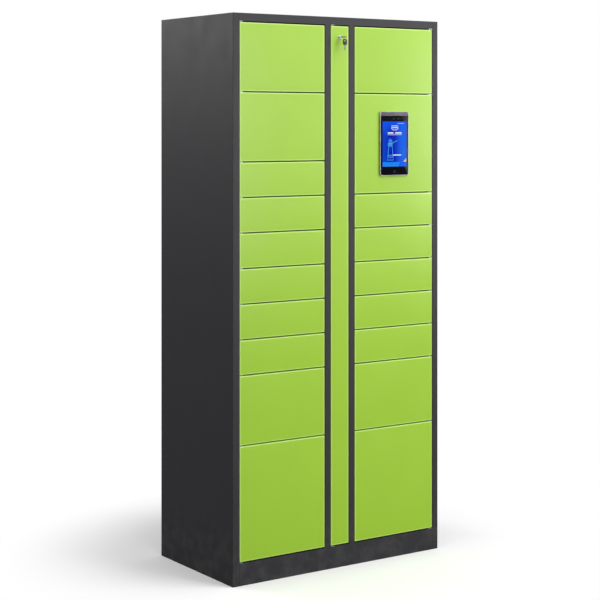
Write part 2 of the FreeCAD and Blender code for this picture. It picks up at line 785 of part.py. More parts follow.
def terminal(middle):
    """Shallow aluminium shell on the door with a glass front let into it."""
    body, rounded = plate("terminal_shell_plate", "terminal_width", "terminal_height",
                          "terminal_depth", "terminal_corner")
    front = -value("terminal_depth") + TOLERANCE
    edges = enumerate(rounded.Shape.Edges, start=1)
    second = body.newObject("PartDesign::Fillet", "terminal_front_round")
    second.Base = (rounded, [f"Edge{i}" for i, edge in edges if edge.BoundBox.YMax < front])
    bind(second, "Radius", "terminal_edge_radius")
    body.Tip = second
    doc.recompute()
    seat, _ = plate("terminal_glass_seat", GLASS_WIDTH, GLASS_HEIGHT, "glass_thickness + overcut",
                    "glass_corner + glass_gap", only_low=True)
    place(seat, y="-terminal_depth + glass_thickness", z=GLASS_SHIFT)
    hollow, _ = plate("terminal_hollow", "terminal_width - 2*terminal_wall",
                      "terminal_height - 2*terminal_wall",
                      "terminal_depth - glass_thickness - terminal_wall",
                      "terminal_corner - terminal_wall")
    shell = cut("terminal_shell", body, group("terminal_cutters", [seat, hollow]))
    finish(place(shell, "terminal_off_middle", "-depth/2", middle), "terminal_shell")
    glass, _ = plate("terminal_glass", f"{GLASS_WIDTH} - 2*glass_gap", f"{GLASS_HEIGHT} - 2*glass_gap",
                     "glass_thickness", "glass_corner", only_low=True)
    place(glass, "terminal_off_middle", "-depth/2 - terminal_depth + glass_thickness", f"{middle} + {GLASS_SHIFT}")
    finish(glass, "terminal_glass")


def controller(middle):
    """Electronics box on the back panel behind the terminal door."""
    half = "controller_width/2"
    case = block("controller_case", (f"-{half}", half), ("-controller_depth", "0"),
                 ("-controller_height/2", "controller_height/2"))
    doc.recompute()
    item = doc.addObject("Part::Fillet", "controller")
    item.Base = case
    radius = value("controller_edge_radius")
    front_half = -value("controller_depth") / 2
    edges = enumerate(case.Shape.Edges, start=1)
    item.Edges = [(i, radius, radius) for i, edge in edges if edge.BoundBox.YMax < front_half]
    return finish(place(item, "terminal_off_middle", "depth/2 - 2*sheet", middle), "controller")


def cable_grommet():
    """Rubber bushing snapped into the cable entry, with a rim on each face of the back panel."""
    inside = "-2*sheet - grommet_rim_height"
    inner = rod("grommet_inner_rim", "grommet_rim_radius", inside, "-2*sheet", along="Y")
    outer = rod("grommet_outer_rim", "grommet_rim_radius", "-sheet", "0", along="Y")
    sleeve = rod("grommet_sleeve", "entry_radius - grommet_gap", "-3*sheet", "0", along="Y")
    bore = rod("grommet_bore_hole", "grommet_bore", f"{inside} - overcut", "overcut", along="Y")
    item = cut("cable_grommet", fuse("grommet_body", [inner, outer, sleeve]), bore)
    return finish(place(item, y="depth/2", z="entry_height"), "cable_grommet")


# ---- the whole locker ------------------------------------------------------------------------

side_panel(LEFT, "left_side_panel")
side_panel(RIGHT, "right_side_panel")
post(LEFT, LEFT_DOORS, "left_post")
post(RIGHT, RIGHT_DOORS, "right_post")
header_rail()
plinth_rail()
floor_panel()
top_panel()
back_panel()
shelves()
floor_anchors()
hinge_pivots()
column(LEFT, LEFT_DOORS, "left")
column(RIGHT, RIGHT_DOORS, "right")
latches()
service_door()
cam_lock_barrel()
cam_lock_core()
key()
key_ring()
terminal_middle = latch_heights(RIGHT_DOORS)[TERMINAL_ROW]
terminal(terminal_middle)
controller(terminal_middle)
cable_grommet()
doc.recompute()

broken = [item.Name for item in doc.Objects if {"Invalid", "Error"} & set(item.State)]
broken += [item.Label for item in parts if item.Shape.isNull() or not item.Shape.isValid()]
if broken:
    raise RuntimeError("not sound: " + ", ".join(broken))

os.makedirs("parts", exist_ok=True)
for item in parts:
    item.Shape.exportStep(f"parts/{item.Label}.step")
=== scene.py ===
import json

import bmesh
import bpy
import numpy as np
from bpy.props import FloatProperty, FloatVectorProperty, IntProperty, PointerProperty
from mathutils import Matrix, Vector


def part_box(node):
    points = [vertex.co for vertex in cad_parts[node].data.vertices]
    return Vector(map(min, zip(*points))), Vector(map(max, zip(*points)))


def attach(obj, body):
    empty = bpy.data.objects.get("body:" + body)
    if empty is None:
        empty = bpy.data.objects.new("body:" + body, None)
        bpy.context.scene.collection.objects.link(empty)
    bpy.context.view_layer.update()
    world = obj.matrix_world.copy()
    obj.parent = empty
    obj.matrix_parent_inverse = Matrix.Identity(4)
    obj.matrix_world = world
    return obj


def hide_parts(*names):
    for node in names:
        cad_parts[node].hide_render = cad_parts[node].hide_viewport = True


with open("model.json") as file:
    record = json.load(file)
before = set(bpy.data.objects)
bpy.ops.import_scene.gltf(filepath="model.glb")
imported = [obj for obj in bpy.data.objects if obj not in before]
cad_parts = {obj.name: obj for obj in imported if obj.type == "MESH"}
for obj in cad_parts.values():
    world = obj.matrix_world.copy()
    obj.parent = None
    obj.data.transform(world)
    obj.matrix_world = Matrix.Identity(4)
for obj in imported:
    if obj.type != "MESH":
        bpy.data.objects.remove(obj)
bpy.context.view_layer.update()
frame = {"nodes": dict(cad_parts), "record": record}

bl_info = {
    "name": "Parcel locker finish",
    "version": (1, 0, 0),
    "blender": (4, 5, 0),
    "location": "View3D > Sidebar > Locker",
    "description": "Paint, lock, keys, terminal front, and latch hardware of a parcel locker",
    "category": "Object",
}

MILLIMETRE = 0.001
LEAST_RADIUS = 0.02 * MILLIMETRE
JOINTS = {joint["name"]: joint for joint in frame["record"]["behaviour"]["joints"]}
TERMINAL_DOOR = "terminal_door"
LOCK_CENTRE = np.array(JOINTS["cam_lock_turn"]["pos_m"])
RING_CENTRE = np.array(JOINTS["key_ring_swing"]["pos_m"])
LATCH_PLACES = np.array([joint["pos_m"] for name, joint in JOINTS.items() if "latch_hook" in name])
DOOR_NODES = [joint["child"] for joint in JOINTS.values() if "_door" in joint["child"]]


# ---- settings a user would change ---------------------------------------------------------


class LockerPaint(bpy.types.PropertyGroup):
    case_colour: FloatVectorProperty(
        name="Case colour", description="Powder coat of the cabinet", subtype="COLOR",
        size=3, min=0, max=1, default=(0.024, 0.024, 0.028))
    door_colour: FloatVectorProperty(
        name="Door colour", description="Powder coat of the doors", subtype="COLOR",
        size=3, min=0, max=1, default=(0.338, 0.580, 0.038))
    # Near-black: partly the shelves' own coat, partly painted shade that makes the seams between the doors
    # read dark.
    shelf_colour_and_seam_shade: FloatVectorProperty(
        name="Inside colour", description="Powder coat of the shelves", subtype="COLOR",
        size=3, min=0, max=1, default=(0.024, 0.024, 0.026))
    peel_height: FloatProperty(
        name="Peel height", description="Height of the orange peel in the powder coat",
        default=0.012 * MILLIMETRE, min=0, precision=6, subtype="DISTANCE", unit="LENGTH")
    peel_spacing: FloatProperty(
        name="Peel spacing", description="Distance between two bumps of the orange peel",
        default=1.6 * MILLIMETRE, min=0.0001, precision=5, subtype="DISTANCE", unit="LENGTH")
    door_bow: FloatProperty(
        name="Door bow", description="How far the sheet of a door leans outward at the door's edges",
        default=0.030, min=0, precision=4, subtype="ANGLE", unit="ROTATION")
    # Painted highlight: the lighter line along a door's bends stands in for light caught on the bent edges.
    painted_edge_highlight: FloatProperty(
        name="Edge line", description="Width of the lighter line where the coat thins on a door's bends",
        default=3.0 * MILLIMETRE, min=0, precision=5, subtype="DISTANCE", unit="LENGTH")


class LockerTerminal(bpy.types.PropertyGroup):
    screen_width: FloatProperty(
        name="Screen width", description="Lit width of the display", default=0.111,
        subtype="DISTANCE", unit="LENGTH")
    screen_height: FloatProperty(
        name="Screen height", description="Lit height of the display", default=0.166,
        subtype="DISTANCE", unit="LENGTH")
    screen_drop: FloatProperty(
        name="Screen drop", description="From the top of the shell down to the lit display", default=0.0375,
        subtype="DISTANCE", unit="LENGTH")
    band_height: FloatProperty(
        name="Band height", description="Height of the grey band above the glass", default=0.0136,
        subtype="DISTANCE", unit="LENGTH")
    band_drop: FloatProperty(
        name="Band drop", description="From the top of the shell down to the grey band", default=0.0023,
        precision=4, subtype="DISTANCE", unit="LENGTH")
    glow: FloatProperty(
        name="Glow", description="Brightness of the display", default=0.95, min=0)


class LockerLock(bpy.types.PropertyGroup):
    rim_round: FloatProperty(
        name="Rim rounding", description="Rounding of the lock's front rim", default=0.8 * MILLIMETRE,
        precision=5, subtype="DISTANCE", unit="LENGTH")
    thread_pitch: FloatProperty(
        name="Thread pitch", description="Pitch of the thread on the lock barrel", default=1.0 * MILLIMETRE,
        precision=5, subtype="DISTANCE", unit="LENGTH")
    key_cuts: IntProperty(
        name="Key cuts", description="Number of notches in a key's blade", default=5, min=1, max=9)


class LockerStage(bpy.types.PropertyGroup):
    eye: FloatVectorProperty(
        name="Eye", description="Where the camera stands", subtype="XYZ", unit="LENGTH",
        size=3, default=(-3.3734, -4.9205, 1.5962))
    turn: FloatProperty(
        name="Turn", description="How far the camera turns to the right of the locker's depth axis",
        subtype="ANGLE", unit="ROTATION", default=0.60080)
    lens: FloatProperty(
        name="Lens", description="Focal length in millimetres on a 36 mm sensor", default=95.956)
    shift: FloatVectorProperty(
        name="Shift", description="Shift of the lens to the right and upward, as parts of the frame",
        size=2, default=(-0.0005, -0.2936))
    sky_front: FloatProperty(
        name="Sky in front", description="Brightness of the surroundings in front of the doors",
        default=0.90, min=0)
    sky_behind: FloatProperty(
        name="Sky behind", description="Brightness of the surroundings behind the locker",
        default=0.55, min=0)
    key_power: FloatProperty(
        name="Key light", description="Power of the large soft light above the right", default=70.0,
        min=0, unit="POWER")
    side_power: FloatProperty(
        name="Side light", description="Power of the tall soft light at the right", default=44.0, min=0,
        unit="POWER")
    front_power: FloatProperty(
        name="Front light", description="Power of the soft light in front of the doors", default=22.0,
        min=0, unit="POWER")
    left_power: FloatProperty(
        name="Left light", description="Power of the weak light in front of the left doors", default=9.0,
        min=0, unit="POWER")
    grazing_power: FloatProperty(
        name="Grazing light", description="Power of the light that skims the left wall from behind",
        default=50.0, min=0, unit="POWER")


# ---- surfaces as arrays ------------------------------------------------------------------


def grid_faces(rows, columns, wrap_rows=False):
    """Quads between neighbouring points of a grid whose columns close into rings."""
    i, j = np.meshgrid(np.arange(rows if wrap_rows else rows - 1), np.arange(columns), indexing="ij")
    below, beside = (i + 1) % rows, (j + 1) % columns
    corners = [i * columns + j, i * columns + beside, below * columns + beside, below * columns + j]
    return np.stack(corners, axis=-1).reshape(-1, 4).tolist()


def ring_stack(rings, closed=False):
    """Rings of points joined one after another; the two end rings are capped unless the stack closes."""
    rows, columns, _ = rings.shape
    faces = grid_faces(rows, columns, wrap_rows=closed)
    if not closed:
        faces.append(list(range(columns))[::-1])
        faces.append([(rows - 1) * columns + j for j in range(columns)])
    return rings.reshape(-1, 3), faces


def rounded_rectangle(width, height, high_radius, low_radius=None, steps=7):
    """Once round a rectangle centred on zero: each corner is a quarter circle, of one radius for
    the two high corners and of another for the two low ones."""
    low_radius = high_radius if low_radius is None else low_radius
    arcs = []
    for quarter, (right, up) in enumerate(((1, 1), (-1, 1), (-1, -1), (1, -1))):
        radius = high_radius if up > 0 else low_radius
        angle = np.linspace(0, np.pi / 2, steps) + quarter * np.pi / 2
        arcs.append(np.stack([
            right * (width / 2 - radius) + radius * np.cos(angle),
            up * (height / 2 - radius) + radius * np.sin(angle)], axis=-1))
    return np.concatenate(arcs)


def plate(width, height, radius, thick, bevel, steps=7, low_radius=None):
    """A rounded rectangle in X and Z that stands out to -Y by its thickness. The front edge is a
    quarter circle: while the inset grows as 1 - cos, the outline comes forward as sin."""
    low_radius = radius if low_radius is None else low_radius
    turn = np.linspace(0, np.pi / 2, 5)
    inset = np.concatenate([[0], bevel * (1 - np.cos(turn))])
    forward = np.concatenate([[0], thick - bevel + bevel * np.sin(turn)])
    rings = []
    for shrink, out in zip(inset, forward):
        edge = rounded_rectangle(width - 2 * shrink, height - 2 * shrink, max(radius - shrink, LEAST_RADIUS),
                                 max(low_radius - shrink, LEAST_RADIUS), steps)
        rings.append(np.column_stack([edge[:, 0], np.full(len(edge), -out), edge[:, 1]]))
    return ring_stack(np.array(rings))


def turned(profile, sides=48, closed=True, shape=None):
    """A profile of (radius, forward) pairs turned about the Y axis. A shape, if given, is the
    greatest radius at each angle, so a hexagon is the smaller of its own radius and the profile's."""
    profile = np.asarray(profile, float)
    angle = np.linspace(0, 2 * np.pi, sides, endpoint=False)
    radius = np.repeat(profile[:, :1], sides, axis=1)
    if shape is not None:
        limit = shape(angle)[None, :]
        radius = np.where(radius > shape.hole, np.minimum(radius, limit), radius)
    rings = np.stack([radius * np.cos(angle), np.repeat(-profile[:, 1:], sides, axis=1),
                      radius * np.sin(angle)], axis=-1)
    return ring_stack(rings, closed=closed)


def swept(path, width, height=None, sides=8, closed=False, up=(0, 1, 0)):
    """An oval section carried along a path. At each point the section's width lies across the path
    and its height along the given up direction, made square to the path."""
    path = np.asarray(path, float)
    height = width if height is None else height
    if closed:
        along = np.roll(path, -1, axis=0) - np.roll(path, 1, axis=0)
    else:
        along = np.gradient(path, axis=0)
    along /= np.linalg.norm(along, axis=1, keepdims=True)
    across = np.cross(along, np.asarray(up, float))
    across /= np.linalg.norm(across, axis=1, keepdims=True)
    upward = np.cross(across, along)
    angle = np.linspace(0, 2 * np.pi, sides, endpoint=False)
    rings = (path[:, None] + across[:, None] * (np.cos(angle) * width / 2)[None, :, None]
             + upward[:, None] * (np.sin(angle) * height / 2)[None, :, None])
    return ring_stack(rings, closed=closed)


def joined(shapes):
    """Several (points, faces) pairs as one."""
    points, faces, count = [], [], 0
    for some_points, some_faces in shapes:
        points.append(some_points)
        faces += [[index + count for index in face] for face in some_faces]
        count += len(some_points)
    return np.concatenate(points), faces


def copies(shape, places):
    """The same shape moved to each place."""
    points, faces = shape
    return joined([(points + place, faces) for place in np.atleast_2d(places)])


def turned_to(shape, x, y, z):
    """The shape with its own X, Y and Z laid along three given directions."""
    points, faces = shape
    return points @ np.array([x, y, z], float), faces


def add_piece(name, shape, body, material, replaces=(), smooth_below=35):
    """Puts a shape into the scene as a finished piece: doubles merged, faces outward, edges sharper
    than the given angle left crisp, riding on its body."""
    points, faces = shape
    mesh = bpy.data.meshes.new(name)
    mesh.from_pydata(np.asarray(points).tolist(), [], faces)
    work = bmesh.new()
    work.from_mesh(mesh)
    bmesh.ops.remove_doubles(work, verts=work.verts, dist=1e-7)
    bmesh.ops.recalc_face_normals(work, faces=work.faces)
    work.to_mesh(mesh)
    work.free()
    mesh.shade_smooth()
    mesh.set_sharp_from_angle(angle=np.radians(smooth_below))
    mesh.materials.append(material)
    piece = bpy.data.objects.new(name, mesh)
    bpy.context.scene.collection.objects.link(piece)
    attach(piece, body)
    if replaces:
        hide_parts(*replaces)
    return piece


# ---- shader building blocks ----------------------------------------------------------------


class Board:
    """A node tree with short calls for adding and linking nodes."""

    def __init__(self, tree):
        self.tree = tree

    def add(self, kind, inputs=None, **settings):
        node = self.tree.nodes.new(kind)
        for name, value in settings.items():
            setattr(node, name, value)
        for name, value in (inputs or {}).items():
            self.feed(node.inputs[name], value)
        return node

    def feed(self, socket, value):
        if isinstance(value, bpy.types.NodeSocket):
            self.tree.links.new(value, socket)
        else:
            socket.default_value = value

    def maths(self, operation, first, second=0.0, third=0.0, clamp=False):
        node = self.add("ShaderNodeMath", operation=operation, use_clamp=clamp)
        for socket, value in zip(node.inputs, (first, second, third)):
            self.feed(socket, value)
        return node.outputs[0]

    def blend(self, factor, first, second, mode="MIX"):
        node = self.add("ShaderNodeMix", data_type="RGBA", blend_type=mode)
        for socket, value in zip((node.inputs[0], node.inputs[6], node.inputs[7]), (factor, first, second)):
            self.feed(socket, value)
        return node.outputs[2]

    def ramp(self, value, low, high, start=0.0, end=1.0):
        limits = {"Value": value, "From Min": low, "From Max": high, "To Min": start, "To Max": end}
        return self.add("ShaderNodeMapRange", limits, interpolation_type="SMOOTHSTEP").outputs[0]

    def place(self):
        return self.add("ShaderNodeTexCoord").outputs["Object"]

    def noise(self, scale, detail=2.0, vector=None, stretch=None):
        vector = self.place() if vector is None else vector
        if stretch:
            vector = self.add("ShaderNodeMapping", {"Vector": vector, "Scale": stretch}).outputs[0]
        inputs = {"Vector": vector, "Scale": scale, "Detail": detail}
        return self.add("ShaderNodeTexNoise", inputs).outputs["Fac"]

    def wander(self, value, noise, reach):
        """The value, moved up and down by a noise whose middle is a half."""
        return self.maths("ADD", value, self.maths("MULTIPLY", self.maths("SUBTRACT", noise, 0.5), reach))


def group(name, inputs, outputs, build):
    """A shader node group made once: named inputs with defaults, named outputs, and what build wires."""
    if name in bpy.data.node_groups:
        return bpy.data.node_groups[name]
    tree = bpy.data.node_groups.new(name, "ShaderNodeTree")
    kinds = {float: "NodeSocketFloat", tuple: "NodeSocketColor", Vector: "NodeSocketVector"}
    for label, default in inputs.items():
        socket = tree.interface.new_socket(label, in_out="INPUT", socket_type=kinds[type(default)])
        socket.default_value = default
    for label, kind in outputs.items():
        tree.interface.new_socket(label, in_out="OUTPUT", socket_type=kind)
    board = Board(tree)
    results = build(board, board.add("NodeGroupInput").outputs)
    exit_node = board.add("NodeGroupOutput")
    for label, socket in results.items():
        board.feed(exit_node.inputs[label], socket)
    return tree


FLOAT_OUT, COLOUR_OUT = "NodeSocketFloat", "NodeSocketColor"


def powder_coat():
    """Baked powder paint: slow clouds of shade, fine speckle, and orange peel as a height."""

    def build(board, given):
        clouds = board.noise(5.0, 3.0)
        speckle = board.noise(2600.0, 1.0)
        fine = board.maths("MULTIPLY", speckle, 0.3)
        shade = board.maths("ADD", board.maths("MULTIPLY", clouds, 0.7), fine)
        dark = board.blend(1.0, given["Colour"], (0.94, 0.94, 0.94, 1), "MULTIPLY")
        light = board.blend(1.0, given["Colour"], (1.06, 1.06, 1.06, 1), "MULTIPLY")
        colour = board.blend(shade, dark, light)
        peel = board.noise(board.maths("DIVIDE", 1.0, given["Peel spacing"]), 1.5)
        height = board.maths("MULTIPLY", peel, given["Peel height"])
        smudge = board.noise(11.0, 4.0)
        rough = board.wander(given["Roughness"], smudge, 0.16)
        return {"Colour": colour, "Roughness": rough, "Height": height}

    inputs = {"Colour": (0.5, 0.5, 0.5, 1.0), "Roughness": 0.4,
              "Peel spacing": 1.6 * MILLIMETRE, "Peel height": 0.01 * MILLIMETRE}
    outputs = {"Colour": COLOUR_OUT, "Roughness": FLOAT_OUT, "Height": FLOAT_OUT}
    return group("Powder coat", inputs, outputs, build)


def floor_dust():
    """Dust that gathers on the lowest part: a mask that fades upwards and breaks up in clouds."""

    def build(board, given):
        height = board.add("ShaderNodeSeparateXYZ", {"Vector": board.place()}).outputs["Z"]
        fade = board.ramp(height, 0.0, given["Reach"], 1.0, 0.0)
        clouds = board.ramp(board.noise(26.0, 5.0), 0.35, 0.75)
        return {"Mask": board.maths("MULTIPLY", board.maths("MULTIPLY", fade, clouds), given["Amount"])}

    return group("Floor dust", {"Reach": 0.25, "Amount": 0.3}, {"Mask": FLOAT_OUT}, build)


def sheet_face():
    """A door's own face: how far its middle is crowned, and a mask along its four bends for a painted
    highlight, a lighter line that stands in for light caught on the bent edges. Across and up run from -1
    to 1 over the face, and the crown is the sum of bow / 2 * half width * (1 - across squared) and
    bow / 2 * half height * (1 - up squared)."""

    def build(board, given):
        spot = board.add("ShaderNodeVectorMath", {0: board.place(), 1: given["Centre"]}, operation="SUBTRACT")
        spread = board.add("ShaderNodeSeparateXYZ", {"Vector": spot.outputs[0]})
        rises, insets = [], []
        for axis, half in (("X", given["Half width"]), ("Z", given["Half height"])):
            distance = board.maths("ABSOLUTE", spread.outputs[axis])
            part = board.maths("DIVIDE", distance, half)
            fall = board.maths("SUBTRACT", 1.0, board.maths("MULTIPLY", part, part), clamp=True)
            rises.append(board.maths("MULTIPLY", fall, board.maths("MULTIPLY", half, 0.5)))
            insets.append(board.maths("SUBTRACT", half, distance))
        crown = board.maths("MULTIPLY", board.maths("ADD", *rises), given["Bow"])
        nearest = board.maths("MINIMUM", *insets)
        # painted highlight: the mask is 1 within Line of the face's edge and fades out just inside it
        line = board.ramp(nearest, given["Line"], board.maths("MULTIPLY", given["Line"], 1.7), 1.0, 0.0)
        return {"Crown": crown, "Bends": line}

    inputs = {"Centre": Vector((0.0, 0.0, 0.0)), "Half width": 0.2, "Half height": 0.1,
              "Bow": 0.02, "Line": 2.5 * MILLIMETRE}
    return group("Sheet face", inputs, {"Crown": FLOAT_OUT, "Bends": FLOAT_OUT}, build)


def drawn_metal():
    """Rolled or brushed metal: fine streaks along one axis, and the faint blotches of handling."""

    def build(board, given):
        stretched = board.add("ShaderNodeVectorMath", {0: board.place(), 1: given["Streaks"]},
                              operation="MULTIPLY")
        streaks = board.noise(1.0, 3.0, vector=stretched.outputs[0])
        blotches = board.noise(60.0, 4.0)
        dark = board.blend(1.0, given["Colour"], (0.80, 0.80, 0.81, 1), "MULTIPLY")
        colour = board.blend(board.ramp(blotches, 0.3, 0.7), dark, given["Colour"])
        rough = board.wander(given["Roughness"], streaks, 0.28)
        height = board.maths("MULTIPLY", streaks, 0.004 * MILLIMETRE)
        return {"Colour": colour, "Roughness": rough, "Height": height}

    inputs = {"Colour": (0.7, 0.7, 0.7, 1.0), "Roughness": 0.3, "Streaks": Vector((200.0, 200.0, 6000.0))}
    outputs = {"Colour": COLOUR_OUT, "Roughness": FLOAT_OUT, "Height": FLOAT_OUT}
    return group("Drawn metal", inputs, outputs, build)


def moulded_grain():
    """Spark-eroded texture of moulded plastic or rubber: small rounded cells and a slow sheen change."""

    def build(board, given):
        cells = board.add("ShaderNodeTexVoronoi", {"Vector": board.place(), "Scale": given["Cells"]})
        clouds = board.noise(40.0, 3.0)
        dark = board.blend(1.0, given["Colour"], (0.78, 0.78, 0.78, 1), "MULTIPLY")
        colour = board.blend(clouds, dark, given["Colour"])
        rough = board.wander(given["Roughness"], clouds, 0.2)
        height = board.maths("MULTIPLY", cells.outputs["Distance"], given["Depth"])
        return {"Colour": colour, "Roughness": rough, "Height": height}

    inputs = {"Colour": (0.1, 0.1, 0.1, 1.0), "Roughness": 0.5, "Cells": 1500.0, "Depth": 0.02 * MILLIMETRE}
    outputs = {"Colour": COLOUR_OUT, "Roughness": FLOAT_OUT, "Height": FLOAT_OUT}
    return group("Moulded grain", inputs, outputs, build)


def finished(name, tree, values, **surface):
    """A material whose colour, roughness and relief come from one group; what is the same all over
    is set on the shader's own sockets. Returns the material, its board, group node and shader."""
    material = bpy.data.materials.new(name)
    material.use_nodes = True
    board = Board(material.node_tree)
    shader = material.node_tree.nodes["Principled BSDF"]
    source = board.add("ShaderNodeGroup", node_tree=tree)
    for label, value in values.items():
        board.feed(source.inputs[label], value)
    board.feed(shader.inputs["Base Color"], source.outputs["Colour"])
    board.feed(shader.inputs["Roughness"], source.outputs["Roughness"])
    relief = board.add("ShaderNodeBump", {"Height": source.outputs["Height"], "Strength": 1.0,
                                          "Distance": 1.0})
    board.feed(shader.inputs["Normal"], relief.outputs[0])
    for label, value in surface.items():
        shader.inputs[label.replace("_", " ")].default_value = value
    return material, board, source, shader, relief


def opaque(colour):
    return (*tuple(colour)[:3], 1.0)


# ---- finishes --------------------------------------------------------------------------------


def case_paint(paint):
    """Anthracite powder coat with dust low down."""
    values = {"Colour": opaque(paint.case_colour), "Roughness": 0.50,
              "Peel spacing": paint.peel_spacing, "Peel height": paint.peel_height}
    material, board, source, shader, _ = finished("case_paint", powder_coat(), values,
                                                  Specular_IOR_Level=0.40)
    dust = board.add("ShaderNodeGroup", node_tree=floor_dust())
    board.feed(dust.inputs["Reach"], 0.30)
    board.feed(dust.inputs["Amount"], 0.07)
    dusty = board.blend(dust.outputs["Mask"], source.outputs["Colour"], (0.34, 0.33, 0.31, 1))
    board.feed(shader.inputs["Base Color"], dusty)
    return material


def door_paint(paint, node):
    """Lime powder coat for one door, with that door's own crown and a painted highlight: a lighter line along
    its bends.
    """
    low, high = (np.array(corner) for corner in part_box(node))
    centre, half = (low + high) / 2, (high - low) / 2
    values = {"Colour": opaque(paint.door_colour), "Roughness": 0.34,
              "Peel spacing": paint.peel_spacing, "Peel height": paint.peel_height}
    material, board, source, shader, relief = finished(node + "_paint", powder_coat(), values,
                                                       Coat_Weight=0.25, Coat_Roughness=0.16)
    face = board.add("ShaderNodeGroup", node_tree=sheet_face())
    for label, value in {"Centre": centre, "Half width": half[0], "Half height": half[2],
                         "Bow": paint.door_bow, "Line": paint.painted_edge_highlight}.items():
        board.feed(face.inputs[label], value)
    # Painted highlight: along the bends the coat is mixed towards a lighter lime, standing in for light
    # caught on the bent edges.
    edge = board.blend(board.maths("MULTIPLY", face.outputs["Bends"], 0.55), source.outputs["Colour"],
                       (0.62, 0.86, 0.25, 1))
    board.feed(shader.inputs["Base Color"], edge)
    board.feed(relief.inputs["Height"], board.maths("ADD", face.outputs["Crown"], source.outputs["Height"]))
    return material


def plain_paint(name, paint, colour):
    values = {"Colour": opaque(colour), "Roughness": 0.46,
              "Peel spacing": paint.peel_spacing, "Peel height": paint.peel_height}
    return finished(name, powder_coat(), values)[0]


def metal(name, colour, rough, streaks=(200, 200, 6000), **surface):
    values = {"Colour": opaque(colour), "Roughness": rough, "Streaks": Vector(streaks)}
    return finished(name, drawn_metal(), values, Metallic=1.0, **surface)[0]


def plastic(name, colour, rough, cells=1500.0, depth=0.02 * MILLIMETRE, **surface):
    values = {"Colour": opaque(colour), "Roughness": rough, "Cells": cells, "Depth": depth}
    return finished(name, moulded_grain(), values, **surface)[0]


def screen_light(terminal, low, high):
    """The lit display: deep blue that lightens towards the edges, slanted beams and a pale band along the
    foot."""
    material = bpy.data.materials.new("terminal_screen_light")
    material.use_nodes = True
    board = Board(material.node_tree)
    shader = material.node_tree.nodes["Principled BSDF"]
    spread = board.add("ShaderNodeSeparateXYZ", {"Vector": board.place()})
    across = board.ramp(spread.outputs["X"], low[0], high[0])
    up_limits = {"Value": spread.outputs["Z"], "From Min": low[2], "From Max": high[2]}
    up = board.add("ShaderNodeMapRange", up_limits).outputs[0]
    off_deepest = board.maths("ABSOLUTE", board.maths("SUBTRACT", across, 0.33))
    edge = board.ramp(off_deepest, 0.08, 0.66)
    colour = board.blend(edge, (0.001, 0.008, 0.44, 1), (0.006, 0.125, 0.86, 1))
    slant = board.maths("ADD", board.maths("MULTIPLY", across, 2.2), up)
    beams = board.maths("SINE", board.maths("MULTIPLY", slant, 9.0))
    colour = board.blend(board.ramp(beams, 0.2, 1.0, 0.0, 0.10), colour, (0.010, 0.14, 0.85, 1))
    top = board.ramp(up, 0.66, 1.0, 0.0, 0.75)
    colour = board.blend(top, colour, (0.004, 0.11, 0.94, 1))
    band = board.ramp(up, 0.095, 0.105, 1.0, 0.0)
    leaning = board.maths("SUBTRACT", across, board.maths("MULTIPLY", up, 0.8))
    slope = board.ramp(leaning, 0.74, 0.75, 1.0, 0.10)
    colour = board.blend(board.maths("MULTIPLY", band, slope), colour, (0.012, 0.24, 0.95, 1))
    board.feed(shader.inputs["Base Color"], (0.001, 0.001, 0.002, 1))
    board.feed(shader.inputs["Emission Color"], colour)
    for label, value in {"Roughness": 0.3, "Specular IOR Level": 0.015,
                         "Emission Strength": terminal.glow}.items():
        shader.inputs[label].default_value = value
    return material


def lit(name, colour, strength):
    """A glowing mark: even light with a slight flicker of brightness over it."""
    material = bpy.data.materials.new(name)
    material.use_nodes = True
    board = Board(material.node_tree)
    shader = material.node_tree.nodes["Principled BSDF"]
    glow = board.blend(board.noise(400.0, 2.0), opaque([c * 0.85 for c in colour]), opaque(colour))
    board.feed(shader.inputs["Base Color"], (0.01, 0.01, 0.012, 1))
    board.feed(shader.inputs["Emission Color"], glow)
    shader.inputs["Emission Strength"].default_value = strength
    shader.inputs["Roughness"].default_value = 0.3
    shader.inputs["Specular IOR Level"].default_value = 0.05
    return material


def black_glass():
    """Black cover glass with faint finger smears in its gloss."""
    material = bpy.data.materials.new("terminal_black_glass")
    material.use_nodes = True
    board = Board(material.node_tree)
    shader = material.node_tree.nodes["Principled BSDF"]
    smears = board.ramp(board.noise(45.0, 5.0), 0.45, 0.8, 0.05, 0.22)
    tint = board.blend(board.noise(30.0, 2.0), (0.003, 0.003, 0.004, 1), (0.006, 0.006, 0.008, 1))
    board.feed(shader.inputs["Base Color"], tint)
    board.feed(shader.inputs["Roughness"], smears)
    shader.inputs["Specular IOR Level"].default_value = 0.04
    return material


# ---- operators: painted and plated frame parts ------------------------------------------------


def dress(node, material):
    """Gives a frame part its material in every slot."""
    mesh = frame["nodes"][node].data
    if not mesh.materials:
        mesh.materials.append(material)
    for index in range(len(mesh.materials)):
        mesh.materials[index] = material


class LOCKER_OT_paint_case(bpy.types.Operator):
    """Paint the cabinet, its rails, posts and panels"""
    bl_idname = "locker.paint_case"
    bl_label = "Paint case"

    def execute(self, context):
        material = case_paint(context.scene.locker_paint)
        for node in ("left_side_panel", "right_side_panel", "left_post", "right_post", "header_rail",
                     "plinth_rail", "floor_panel", "top_panel", "back_panel"):
            dress(node, material)
        paint = context.scene.locker_paint
        # The shelves get a near-black coat like the case: partly their own paint, partly painted shade that
        # keeps the seams between the doors as dark as the shaded inside behind them.
        inside = plain_paint("inside_paint", paint, paint.shelf_colour_and_seam_shade)
        dress("shelves", inside)
        return {"FINISHED"}


class LOCKER_OT_paint_doors(bpy.types.Operator):
    """Paint each door with its own crowned lime coat"""
    bl_idname = "locker.paint_doors"
    bl_label = "Paint doors"

    def execute(self, context):
        for node in DOOR_NODES:
            dress(node, door_paint(context.scene.locker_paint, node))
        return {"FINISHED"}


